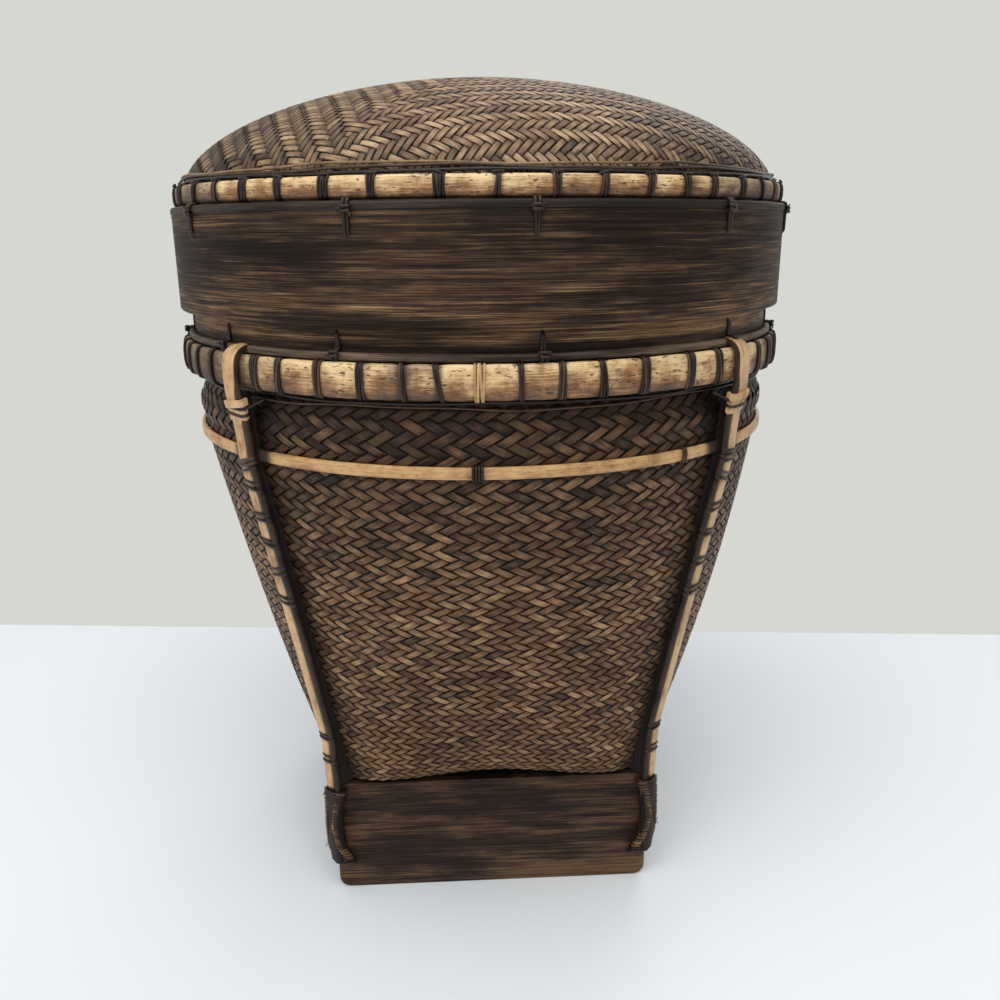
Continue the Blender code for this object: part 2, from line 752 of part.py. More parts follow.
def make_lid():
    """The lid: dome, hoops, lashing, edge strip, ties and the band that slides over the collar."""
    lid = bpy.data.objects.new("lid_lift", None)
    guides.objects.link(lid)
    dome = bpy.data.objects.new("lid_dome", bpy.data.meshes.new("lid_dome"))
    turn_about_axis(dome, dome_profile(), False)
    finish(add_wall(dome, LID_WALL), DOME_WEAVE, 0.7, lid)
    profile = split_hoop_profile(
        lid_hoop_inside, lid_hoop_radius, lid_hoop_bottom, lid_hoop_top, HOOP_SHOULDER / 2.0
    )
    finish(turned_ring("lid_hoop", profile), GOLD_CANE, 0.45, lid)
    strand = hoop_lashing(
        "lid_lashing", lid_hoop_inside, lid_hoop_radius, lid_hoop_bottom, lid_hoop_top, HOOP_SHOULDER / 2.0
    )
    finish(strand, BLACK_CANE, 0.5, lid)
    inside_wall = lid_wall_radius - LID_WALL - CLEARANCE
    inner = band_profile(inside_wall - INNER_HOOP, inside_wall, lid_seat, lid_hoop_top)
    finish(turned_ring("lid_inner_hoop", inner), DARK_BAMBOO, 0.5, lid)
    guard = guard_profile(lid_wall_radius + CLEARANCE, lid_hoop_top + LASHING + 2.0 * CLEARANCE)
    finish(turned_ring("lid_guard_cane", guard), BLACK_CANE, 0.5, lid)
    band = band_profile(band_radius - LID_BAND, band_radius, band_bottom, band_top)
    finish(turned_ring("lid_band", band), DARK_BAMBOO, 0.4, lid)
    strip = band_profile(band_radius - LID_BAND, band_radius, lid_strip_bottom, lid_strip_top)
    finish(turned_ring("lid_edge_strip", strip), DARK_BAMBOO, 0.5, lid)
    for index in range(TIE_COUNT):
        lid_tie(index, lid)


clear_scene()
basket = new_collection("rice_basket")
guides = new_collection("guides")
lace_profile = guide_profile("lace_section", flat_outline(LACE_STRAND, LACE_STRAND_WIDTH))
rib_profile = guide_profile("rib_section", crowned_outline(RIB_THICKNESS, RIB_WIDTH))
for board_side, board_turn in SIDES.items():
    make_foot_board(board_side, board_turn)
make_body()
make_waist()
make_rim()
make_collar()
make_corners()
make_lid()
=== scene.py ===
"""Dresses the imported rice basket: woven walls, lashed hoops, corner ribs, bamboo bands and laced foot."""

import logging
import math
from dataclasses import dataclass, field
from enum import Enum

import bpy
import numpy as np
from mathutils import Matrix, Vector


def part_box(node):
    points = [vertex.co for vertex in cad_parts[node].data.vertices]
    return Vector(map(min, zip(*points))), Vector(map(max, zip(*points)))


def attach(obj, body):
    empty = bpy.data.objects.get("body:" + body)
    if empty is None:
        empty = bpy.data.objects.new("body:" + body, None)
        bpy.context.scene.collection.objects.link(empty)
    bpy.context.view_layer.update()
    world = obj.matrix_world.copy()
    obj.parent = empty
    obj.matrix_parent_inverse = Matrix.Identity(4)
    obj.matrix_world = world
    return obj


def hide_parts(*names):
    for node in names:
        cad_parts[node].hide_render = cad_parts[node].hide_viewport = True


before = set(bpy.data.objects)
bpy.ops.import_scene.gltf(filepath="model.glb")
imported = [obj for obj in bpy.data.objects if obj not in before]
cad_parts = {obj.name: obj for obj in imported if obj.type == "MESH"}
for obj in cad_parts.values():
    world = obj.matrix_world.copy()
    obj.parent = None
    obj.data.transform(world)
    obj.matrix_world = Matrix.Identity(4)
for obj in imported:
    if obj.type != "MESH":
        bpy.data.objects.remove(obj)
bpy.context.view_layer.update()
LOG = logging.getLogger("rice_basket")
WALL_THICKNESS = 0.0024
Point = tuple[float, float, float]
Colour = tuple[float, float, float, float]
Stops = tuple[tuple[float, Colour], ...]
# A ring's inner and outer radius, and its lower and upper height.
Ring = tuple[float, float, float, float]


def srgb(red: int, green: int, blue: int) -> Colour:
    """Gives the linear values of a colour that was read on a scale of 0 to 255."""
    parts = [part / 255 for part in (red, green, blue)]
    return (*[p / 12.92 if p <= 0.04045 else ((p + 0.055) / 1.055) ** 2.4 for p in parts], 1.0)


def shade_stops(*rows: tuple[float, int, int, int]) -> Stops:
    """Makes a ramp's stops of places and of colours on a scale of 0 to 255."""
    return tuple((place, srgb(*colour)) for place, *colour in rows)


class Signal:
    """A node socket on which arithmetic adds Math nodes."""

    def __init__(self, graph: "Graph", socket: bpy.types.NodeSocket) -> None:
        """Keeps the socket and the graph that it is part of."""
        self.graph = graph
        self.socket = socket

    def math(self, operation: str, *values: "Signal | float") -> "Signal":
        """Adds one Math node."""
        inputs = dict(enumerate(values))
        return self.graph.node("ShaderNodeMath", {"operation": operation}, inputs)

    def __add__(self, other: "Signal | float") -> "Signal":
        """The sum of this and another value."""
        return self.math("ADD", self, other)

    def __radd__(self, other: float) -> "Signal":
        """The sum, with the number on the left."""
        return self.math("ADD", other, self)

    def __sub__(self, other: "Signal | float") -> "Signal":
        """This less another value."""
        return self.math("SUBTRACT", self, other)

    def __rsub__(self, other: float) -> "Signal":
        """A number less this."""
        return self.math("SUBTRACT", other, self)

    def __mul__(self, other: "Signal | float") -> "Signal":
        """The product of this and another value."""
        return self.math("MULTIPLY", self, other)

    def __rmul__(self, other: float) -> "Signal":
        """The product, with the number on the left."""
        return self.math("MULTIPLY", other, self)

    def __abs__(self) -> "Signal":
        """The value without its sign."""
        return self.math("ABSOLUTE", self)

    def most(self, other: "Signal | float") -> "Signal":
        """The greater of this and another value."""
        return self.math("MAXIMUM", self, other)

    def ease(self, low: float, high: float) -> "Signal":
        """Rises smoothly from 0 to 1."""
        settings = {"interpolation_type": "SMOOTHSTEP"}
        return self.graph.node("ShaderNodeMapRange", settings, {0: self, 1: low, 2: high})


class Graph:
    """A node tree that is written as expressions."""

    def __init__(self, tree: bpy.types.NodeTree) -> None:
        """Keeps the tree."""
        self.tree = tree

    def node(
        self,
        kind: str,
        settings: dict[str, object] | None = None,
        inputs: dict[int | str, object] | None = None,
        output: int | str = 0,
    ) -> Signal:
        """Adds one node.

        Args:
            kind: The node's type.
            settings: Its own options, and stops for a ramp.
            inputs: The value or link of each socket.
            output: The output that is wanted.

        Returns:
            That output.
        """
        made = self.tree.nodes.new(kind)
        for key, value in (settings or {}).items():
            if key == "stops":
                self.set_stops(made.color_ramp, value)
            else:
                setattr(made, key, value)
        for key, value in (inputs or {}).items():
            if isinstance(value, Signal):
                self.tree.links.new(value.socket, made.inputs[key])
            else:
                made.inputs[key].default_value = value
        return Signal(self, made.outputs[output])

    @staticmethod
    def set_stops(ramp: bpy.types.ColorRamp, stops: Stops) -> None:
        """Gives a ramp its stops.

        Args:
            ramp: The ramp.
            stops: Pairs of place and colour.
        """
        while len(ramp.elements) < len(stops):
            ramp.elements.new(0.5)
        for element, (place, colour) in zip(ramp.elements, stops):
            element.position = place
            element.color = colour

    def ramp(self, value: Signal, stops: Stops) -> Signal:
        """Looks a value up in a colour ramp."""
        return self.node("ShaderNodeValToRGB", {"stops": stops}, {0: value})

    def mix(self, share: Signal, first: Signal | Colour, second: Signal | Colour) -> Signal:
        """Mixes two colours."""
        settings = {"data_type": "RGBA"}
        return self.node("ShaderNodeMix", settings, {0: share, 6: first, 7: second}, 2)

    def noise(self, vector: Signal, scale: float, detail: float, rough: float = 0.55) -> Signal:
        """Adds a noise texture."""
        inputs = {"Vector": vector, "Scale": scale, "Detail": detail, "Roughness": rough}
        return self.node("ShaderNodeTexNoise", None, inputs)

    def place(self) -> Signal:
        """Object coordinates."""
        return self.node("ShaderNodeTexCoord", None, None, "Object")

    def strip(self) -> Signal:
        """The piece's own UV map, along and across its strip."""
        return self.node("ShaderNodeUVMap", {"uv_map": "strip"})

    def split(self, vector: Signal) -> tuple[Signal, Signal, Signal]:
        """Takes a vector apart.

        Args:
            vector: The vector.

        Returns:
            Its three parts.
        """
        first = self.node("ShaderNodeSeparateXYZ", None, {0: vector})
        node = first.socket.node
        return first, Signal(self, node.outputs[1]), Signal(self, node.outputs[2])

    def join(self, x: Signal | float, y: Signal | float, z: Signal | float) -> Signal:
        """Makes a vector of three values."""
        return self.node("ShaderNodeCombineXYZ", None, {0: x, 1: y, 2: z})

    def end(self, kind: str, surface: Signal) -> None:
        """Adds the tree's output node."""
        made = self.tree.nodes.new(kind)
        self.tree.links.new(surface.socket, made.inputs["Surface"])

    def attribute(self, name: str) -> Signal:
        """A number that the mesh holds at each point."""
        return self.node("ShaderNodeAttribute", {"attribute_name": name}, None, "Fac")


class Flow(Enum):
    """The way a piece's fibres run."""

    LEVEL = "level"
    STRIP = "strip"


@dataclass(frozen=True)
class Finish:
    """A material whose colour, roughness and relief change over the surface."""

    name: str
    relief: float = 0.00008
    gloss: float = 0.3

    def dress(self, graph: Graph) -> tuple[Signal, Signal, Signal]:
        """Gives what changes over the surface."""
        raise NotImplementedError

    def fibre_vector(self, graph: Graph, flow: Flow, along: float, across: float) -> Signal:
        """Gives coordinates that are drawn out along the fibres.

        Args:
            graph: The material's graph.
            flow: The way that the fibres run.
            along: Repeats in a metre along them.
            across: Repeats in a metre across them.

        Returns:
            The coordinates.
        """
        source = graph.strip() if flow is Flow.STRIP else graph.place()
        scale = (along, across, 1.0) if flow is Flow.STRIP else (along, along, across)
        return graph.node("ShaderNodeVectorMath", {"operation": "MULTIPLY"}, {0: source, 1: scale})

    def material(self) -> bpy.types.Material:
        """Builds the material, or finds it where it was built before.

        Returns:
            The material.
        """
        found = bpy.data.materials.get(self.name)
        if found:
            return found
        made = bpy.data.materials.new(self.name)
        made.use_nodes = True
        made.node_tree.nodes.clear()
        graph = Graph(made.node_tree)
        colour, rough, height = self.dress(graph)
        relief = {"Distance": self.relief, "Height": height}
        bump = graph.node("ShaderNodeBump", None, relief)
        inputs = {"Base Color": colour, "Roughness": rough, "Normal": bump}
        inputs["Specular IOR Level"] = self.gloss
        shader = graph.node("ShaderNodeBsdfPrincipled", None, inputs)
        graph.end("ShaderNodeOutputMaterial", shader)
        return made


@dataclass(frozen=True)
class WeaveFinish(Finish):
    """Split bamboo that is woven over and under, each strip with a tone of its own."""

    shades: Stops = ()
    gap: Colour = (0.01, 0.008, 0.006, 1.0)
    red: Colour = (0.17, 0.08, 0.05, 1.0)
    gold: Colour = (0.26, 0.19, 0.09, 1.0)
    stain: float = 0.3
    # glow: how strongly a painted highlight lightens the middle of each float and darkens its ends.
    glow: float = 0.3
    # The painted shadow under the rim: the height where it starts, the height where it is full, and how dark
    # it is.
    rim_shadow: Point = (0.0, 1.0, 0.0)

    def dress(self, graph: Graph) -> tuple[Signal, Signal, Signal]:
        """Fine grain along each strip, and dark where it dives under its neighbours: partly the real dark of
        the joints, partly painted shade.

        Args:
            graph: The material's graph.

        Returns:
            The colour, the roughness and the height.
        """
        along, across, _ = graph.split(graph.strip())
        place, tone = graph.place(), graph.attribute("tone")
        _, _, height = graph.split(place)
        low, high, dark = self.rim_shadow
        grain = graph.noise(graph.join(along * 1.6, across * 3.6, tone * 90.0), 1.0, 3.0, 0.7)
        hair = graph.noise(graph.join(along * 4.0, across * 14.0, tone * 170.0), 1.0, 2.0, 0.7)
        cloud = graph.noise(place, 34.0, 3.0)
        # Painted highlight: each float is lighter at its middle and darker towards its ends.
        middle = 1.0 - abs(along - 0.5) * 2.0
        shade = tone + (cloud - 0.5) * self.stain + (grain - 0.5) * 1.1 + (hair - 0.5) * 0.8
        shade = shade + (middle - 0.55) * self.glow
        # Painted shadow: floats are darker above a height, as under the rim's overhang.
        colour = graph.ramp(shade - height.ease(low, high) * dark, self.shades)
        chance = graph.noise(graph.join(tone * 611.0, 0.5, 0.5), 1.0, 0.0)
        colour = graph.mix(chance.ease(0.58, 0.72) * 0.26, colour, self.red)
        colour = graph.mix((1.0 - chance).ease(0.6, 0.72) * 0.22, colour, self.gold)
        # Painted shade: floats beside the corner ribs and under the rim are darkened towards the gap colour.
        colour = graph.mix((graph.attribute("worn") + (grain - 0.5) * 0.5).ease(0.0, 1.3), colour, self.gap)
        # Painted shade, partly the real dark of the joints: the gap colour at each float's ends and edges.
        end = abs(along - 0.5).ease(0.38, 0.48)
        edge = abs(across - 0.5).ease(0.36, 0.49)
        hidden = (end * 0.95).most(edge * 0.8)
        rough = grain * 0.25 + hidden * 0.2 + 0.36
        return graph.mix(hidden, colour, self.gap), rough, grain


@dataclass(frozen=True)
class TwillFinish(Finish):
    """The plain back of the weave, drawn as twill on a wall's own UV map."""

    pale: Colour = (0.2, 0.14, 0.08, 1.0)
    dark: Colour = (0.03, 0.02, 0.015, 1.0)
    over: int = 2

    def dress(self, graph: Graph) -> tuple[Signal, Signal, Signal]:
        """Each crossing shows the strip that lies over there.

        Args:
            graph: The material's graph.

        Returns:
            The colour, the roughness and the height.
        """
        x, y, _ = graph.split(graph.strip())
        first, second = (y + x) * 0.5, (y - x) * 0.5
        row, column = first.math("ROUND", first), second.math("ROUND", second)
        step = (row + column).math("FLOORED_MODULO", row + column, 2.0 * self.over)
        over = step.ease(self.over - 0.51, self.over - 0.49)
        side = (first - row) * (1.0 - over) + (second - column) * over
        strip = row * (1.0 - over) + column * over + over * 57.0
        edge = abs(side).ease(0.3, 0.5)
        tone = graph.noise(graph.join(strip * 7.3, 0.5, 0.5), 1.0, 0.0)
        grain = graph.noise(graph.join(side * 9.0, strip * 3.1, x * 0.4 + y * 0.4), 1.0, 3.0)
        colour = graph.mix((tone * 0.9 + grain * 0.5 - 0.2), self.dark, self.pale)
        return graph.mix(edge, colour, self.dark), grain * 0.2 + 0.45, 1.0 - edge


@dataclass(frozen=True)
class CaneFinish(Finish):
    """Split cane with fine fibres, stains and dark specks; grime and painted shade gather where the mesh
    says.
    """

    pale: Colour = (0.6, 0.4, 0.2, 1.0)
    brown: Colour = (0.3, 0.17, 0.08, 1.0)
    dark: Colour = (0.04, 0.025, 0.015, 1.0)
    flow: Flow = Flow.LEVEL
    specks: float = 0.6
    stained: float = 0.5

    def dress(self, graph: Graph) -> tuple[Signal, Signal, Signal]:
        """Fibres, then stains, then specks, then grime and painted shade.

        Args:
            graph: The material's graph.

        Returns:
            The colour, the roughness and the height.
        """
        fibres = graph.noise(self.fibre_vector(graph, self.flow, 90.0, 2600.0), 1.0, 4.0, 0.6)
        stains = graph.noise(graph.place(), 110.0, 4.0, 0.6)
        mottle = graph.noise(self.fibre_vector(graph, self.flow, 260.0, 900.0), 1.0, 5.0, 0.75)
        speck = graph.noise(self.fibre_vector(graph, self.flow, 420.0, 1500.0), 1.0, 2.0)
        zone = graph.attribute("shade")
        share = (stains - 0.5) * 2.4 + (fibres - 0.5) * 1.6 + (mottle - 0.5) * 1.2 + zone + self.stained
        colour = graph.mix(share.ease(0.0, 1.0), self.pale, self.brown)
        colour = graph.mix((share + mottle).ease(1.1, 2.1) * 0.7, colour, self.dark)
        colour = graph.mix(speck.ease(0.58, 0.68) * self.specks, colour, self.dark)
        # Darker where the mesh says: real stains, and painted shade at lashings, bindings and ribs.
        grime = graph.attribute("grime")
        colour = graph.mix((grime + (stains - 0.5) * 0.4).ease(0.1, 1.0), colour, self.dark)
        return colour, fibres * 0.25 + grime * 0.2 + 0.28, fibres * 0.7 + mottle * 0.3


@dataclass(frozen=True)
class BambooFinish(Finish):
    """Smoked bamboo with long level streaks."""

    shades: Stops = ()
    low: float = 0.0
    high: float = 0.0
    lift: float = 0.0
    shift: float = 0.0
    patches: float = 0.24
    relief: float = 0.00012

    def dress(self, graph: Graph) -> tuple[Signal, Signal, Signal]:
        """Broad bands, streaks and hairs, paler between two heights.

        Args:
            graph: The material's graph.

        Returns:
            The colour, the roughness and the height.
        """
        place = graph.place()
        patch = graph.noise(self.fibre_vector(graph, Flow.LEVEL, 13.0, 85.0), 1.0, 5.0, 0.7).ease(0.4, 0.6)
        streak = graph.noise(self.fibre_vector(graph, Flow.LEVEL, 20.0, 1300.0), 1.0, 3.0, 0.7)
        hair = graph.noise(self.fibre_vector(graph, Flow.LEVEL, 45.0, 3200.0), 1.0, 3.0, 0.75)
        # Patchy wear of the bamboo itself.
        worn = graph.noise(place, 45.0, 5.0, 0.7)
        _, _, height = graph.split(place)
        zone = (1.0 - height.ease(self.low, self.high)) * self.lift + self.shift if self.lift else self.shift
        value = (patch - 0.5) * self.patches + streak * 0.85 + hair * 1.1 + worn * 0.3 + zone - 0.68
        rough = 0.62 - hair * 0.3 + worn * 0.12
        return graph.ramp(value, self.shades), rough, streak * 0.5 + hair * 0.5


@dataclass(frozen=True)
class StrandFinish(Finish):
    """Thin split strands, from nearly black to pale straw by their tone."""

    shades: Stops = ()
    relief: float = 0.00005

    def dress(self, graph: Graph) -> tuple[Signal, Signal, Signal]:
        """Tone with fine mottling.

        Args:
            graph: The material's graph.

        Returns:
            The colour, the roughness and the height.
        """
        mottle = graph.noise(graph.place(), 900.0, 3.0)
        cloud = graph.noise(graph.place(), 160.0, 2.0)
        tone = graph.attribute("tone")
        shade = tone + (mottle - 0.5) * 0.3 + (cloud - 0.5) * 0.35
        return graph.ramp(shade, self.shades), mottle * 0.2 + (1.0 - tone.ease(0.0, 0.06)) * 0.5 + 0.3, mottle


BODY_WEAVE = WeaveFinish(
    "body_weave_bamboo",
    shades=shade_stops(
        (0.0, 44, 31, 24),
        (0.3, 83, 61, 45),
        (0.55, 113, 85, 62),
        (0.8, 140, 108, 79),
        (1.0, 172, 139, 102),
    ),
    gap=srgb(22, 13, 9),
    red=srgb(124, 84, 61),
    gold=srgb(134, 108, 64),
    stain=0.5,
    # Painted shadow under the rim, starting at 0.118 m and full from 0.178 m.
    rim_shadow=(0.118, 0.178, 0.36),
    gloss=0.14,
    glow=0.34,
)
DOME_WEAVE = WeaveFinish(
    "dome_weave_bamboo",
    shades=shade_stops((0.0, 44, 32, 25), (0.35, 88, 68, 52), (0.65, 128, 102, 77), (1.0, 186, 156, 120)),
    gap=srgb(34, 21, 14),
    red=srgb(128, 100, 78),
    gold=srgb(140, 120, 80),
    stain=0.35,
    gloss=0.22,
)
# Kept dark: partly the lining's own colour, partly painted shade for the gaps between the floats.
BODY_TWILL = TwillFinish(
    "body_lining_twill", relief=0.0003, pale=srgb(72, 52, 36), dark=srgb(20, 12, 9), gloss=0.15
)
DOME_TWILL = TwillFinish(
    "dome_lining_twill", relief=0.0003, pale=srgb(106, 84, 60), dark=srgb(38, 27, 20), over=3
)
HOOP_CANE = CaneFinish(
    "hoop_golden_cane",
    gloss=0.5,
    pale=srgb(232, 200, 148),
    brown=srgb(146, 101, 60),
    dark=srgb(54, 36, 27),
    specks=0.9,
    stained=0.45,
)
INNER_CANE = CaneFinish(
    "inner_hoop_cane",
    pale=srgb(140, 104, 66),
    brown=srgb(92, 64, 42),
    dark=srgb(40, 28, 22),
)
WAIST_CANE = CaneFinish(
    "waist_pale_cane",
    relief=0.00004,
    pale=srgb(206, 166, 116),
    brown=srgb(164, 120, 78),
    dark=srgb(52, 36, 28),
    specks=0.3,
    stained=0.4,
)
PALE_RIB = CaneFinish(
    "rib_pale_cane",
    relief=0.00005,
    pale=srgb(214, 174, 128),
    brown=srgb(160, 119, 80),
    dark=srgb(56, 38, 29),
    flow=Flow.STRIP,
    specks=0.35,
    stained=0.36,
)
DARK_RIB = CaneFinish(
    "rib_dark_cane",
    relief=0.00005,
    gloss=0.2,
    pale=srgb(70, 52, 38),
    brown=srgb(38, 27, 21),
    dark=srgb(20, 14, 12),
    flow=Flow.STRIP,
    specks=0.3,
    stained=0.6,
)
BAND_SHADES = shade_stops(
    (0.25, 22, 15, 12),
    (0.46, 41, 30, 23),
    (0.62, 68, 51, 38),
    (0.78, 110, 84, 58),
    (0.98, 164, 132, 92),
)
LID_BAND = BambooFinish(
    "lid_band_bamboo", shades=BAND_SHADES, low=0.203, high=0.216, lift=0.1, gloss=0.1
)
# Darker below its lower height: painted shade just above the rim hoop and its strip.
COLLAR_BAND = BambooFinish(
    "collar_bamboo", shades=BAND_SHADES, low=0.1945, high=0.1968, lift=-0.32, shift=0.26, gloss=0.1
)
COLLAR_STRIP = BambooFinish(
    "collar_strip_bamboo",
    gloss=0.2,
    shift=0.03,
    shades=shade_stops((0.3, 38, 29, 24), (0.55, 82, 67, 55), (0.8, 124, 105, 85), (1.0, 170, 146, 118)),
)
STRIP_BAMBOO = BambooFinish(
    "edge_strip_bamboo",
    gloss=0.2,
    shades=shade_stops((0.3, 24, 17, 14), (0.55, 46, 35, 28), (0.8, 84, 66, 48), (1.0, 140, 112, 80)),
)
BOARD_BAMBOO = BambooFinish(
    "foot_board_bamboo",
    gloss=0.16,
    low=0.004,
    high=0.034,
    lift=0.1,
    patches=0.4,
    shades=shade_stops((0.25, 29, 19, 15), (0.46, 52, 36, 28), (0.65, 82, 60, 43), (0.95, 124, 96, 68)),
)
STRANDS = StrandFinish(
    "binding_strands",
    gloss=0.32,
    shades=shade_stops((0.0, 22, 14, 12), (0.3, 52, 35, 27), (0.6, 112, 84, 58), (1.0, 216, 178, 126)),
)


class Corner(Enum):
    """The basket's corners and their angles in degrees."""

    FRONT_RIGHT = -45
    BACK_RIGHT = 45
    BACK_LEFT = 135
    FRONT_LEFT = -135


class Side(Enum):
    """The basket's sides and their angles in degrees."""

    FRONT = -90
    RIGHT = 0
    BACK = 90
    LEFT = 180


def in_scene(name: str, data: bpy.types.ID) -> bpy.types.Object:
    """Makes an object and links it to the scene.

    Args:
        name: Its name.
        data: Its mesh, camera or light.

    Returns:
        The object.
    """
    made = bpy.data.objects.new(name, data)
    bpy.context.scene.collection.objects.link(made)
    return made


def keep_values(mesh: bpy.types.Mesh, key: str, values: np.ndarray) -> None:
    """Keeps a number or a vector at each point of a mesh.

    Args:
        mesh: The mesh.
        key: The attribute's name.
        values: One number for each point, or one row of three.
    """
    is_vector = values.ndim == 2
    kept = mesh.attributes.new(key, "FLOAT_VECTOR" if is_vector else "FLOAT", "POINT")
    kept.data.foreach_set("vector" if is_vector else "value", values.astype(np.float32).ravel())


def degrees_away(turn: np.ndarray, other: np.ndarray | float) -> np.ndarray:
    """Gives how far angles are from others, the shorter way round."""
    return (turn - other + 180) % 360 - 180


def skin(
    name: str,
    grid: np.ndarray,
    wrap_rows: bool = False,
    wrap_columns: bool = True,
    values: dict[str, np.ndarray] | None = None,
) -> bpy.types.Object:
    """Lays faces over a grid of points and turns them outwards.

    Args:
        name: The piece's name.
        grid: The points, by row and column.
        wrap_rows: Whether the last row joins the first.
        wrap_columns: Whether the last column joins the first.
        values: Numbers to keep at each point.

    Returns:
        The piece.
    """
    rows, columns = grid.shape[:2]
    row_steps = rows if wrap_rows else rows - 1
    column_steps = columns if wrap_columns else columns - 1
    row, column = np.meshgrid(np.arange(row_steps), np.arange(column_steps), indexing="ij")
    by_row = np.stack([row, row + 1, row + 1, row], -1).reshape(-1, 4)
    by_column = np.stack([column, column, column + 1, column + 1], -1).reshape(-1, 4)
    corners = (by_row % rows) * columns + by_column % columns
    step_along = np.linalg.norm(np.roll(grid, -1, 0) - grid, axis=2).mean(1)
    step_across = np.linalg.norm(np.roll(grid, -1, 1) - grid, axis=2).mean(0)
    along = np.concatenate([[0], np.cumsum(step_along)])
    across = np.concatenate([[0], np.cumsum(step_across)])
    points = grid.reshape(-1, 3)
    middle = points - points.mean(0)
    a, b, c = middle[corners[:, 0]], middle[corners[:, 1]], middle[corners[:, 2]]
    is_turned = np.einsum("ij,ij->i", a, np.cross(b, c)).sum() < 0
    if is_turned:
        corners, by_row, by_column = corners[:, ::-1], by_row[:, ::-1], by_column[:, ::-1]
    faces = corners.tolist()
    map_u, map_v = along[by_row].reshape(-1), across[by_column].reshape(-1)
    if wrap_columns and not wrap_rows:
        first, last = list(range(columns)), list(range((rows - 1) * columns, rows * columns))
        faces += [first[::-1], last] if is_turned else [first, last[::-1]]
        map_u = np.concatenate([map_u, np.full(columns, along[0]), np.full(columns, along[rows - 1])])
        map_v = np.concatenate([map_v, across[:columns], across[:columns]])
    mesh = bpy.data.meshes.new(name)
    mesh.from_pydata(points.tolist(), [], faces)
    layer = mesh.uv_layers.new(name="strip")
    layer.data.foreach_set("uv", np.stack([map_u, map_v], -1).astype(np.float32).ravel())
    for key, value in (values or {}).items():
        keep_values(mesh, key, np.broadcast_to(value, (rows, columns)).ravel())
    mesh.shade_smooth()
    mesh.set_sharp_from_angle(angle=math.radians(50))
    return in_scene(name, mesh)


def open_end(made: bpy.types.Object, is_upper: bool) -> None:
    """Opens a shell by taking out one of the two caps that close its ends.

    Args:
        made: The shell.
        is_upper: Whether the upper one goes.
    """
    mesh = made.data
    caps = [p for p in mesh.polygons if len(p.vertices) > 4]
    taken = max(caps, key=lambda p: p.center.z if is_upper else -p.center.z)
    faces = [list(p.vertices) for p in mesh.polygons if p.index != taken.index]
    points = [tuple(v.co) for v in mesh.vertices]
    fresh = bpy.data.meshes.new(mesh.name)
    fresh.from_pydata(points, [], faces)
    fresh.uv_layers.new(name="strip")
    fresh.shade_smooth()
    made.data = fresh


def round_grid(section: np.ndarray, steps: int) -> np.ndarray:
    """Turns a section about the basket's axis.

    Args:
        section: Radius and height of its points, or one such section for each step.
        steps: How many places round the turn has.

    Returns:
        The grid of points.
    """
    turn = np.linspace(0, 2 * math.pi, steps, endpoint=False)[:, None]
    return round_points(section[..., 0], section[..., 1], turn)


def soft_section(
    inner: float, outer: float, low: float, high: float, power: float, points: int
) -> np.ndarray:
    """Draws a ring's section, flat inside and rounded outside.

    Args:
        inner: The inner radius.
        outer: The outer radius.
        low: The lower height.
        high: The upper height.
        power: How square the outer face is; 2 is round.
        points: How many points the section has.

    Returns:
        Radius and height of each point.
    """
    turn = np.linspace(0, 2 * math.pi, points, endpoint=False) + math.pi / points
    power = np.where(np.cos(turn) > 0, power, 6.0)
    wide = np.sign(np.cos(turn)) * np.abs(np.cos(turn)) ** (2 / power)
    tall = np.sign(np.sin(turn)) * np.abs(np.sin(turn)) ** (2 / power)
    middle = np.array([(inner + outer) / 2, (low + high) / 2])
    return middle + np.stack([wide * (outer - inner) / 2, tall * (high - low) / 2], -1)


def settled(made: bpy.types.Object) -> bpy.types.Object:
    """Turns a piece with modifiers into a plain mesh.

    Args:
        made: The piece.

    Returns:
        The same piece, with no modifiers left.
    """
    bpy.context.view_layer.update()
    depsgraph = bpy.context.evaluated_depsgraph_get()
    mesh = bpy.data.meshes.new_from_object(
        made.evaluated_get(depsgraph), preserve_all_data_layers=True, depsgraph=depsgraph
    )
    made.modifiers.clear()
    made.data = mesh
    for name in ("forward", "outward", "size", "radius", "side", "lean"):
        found = mesh.attributes.get(name)
        if found:
            mesh.attributes.remove(found)
    return made


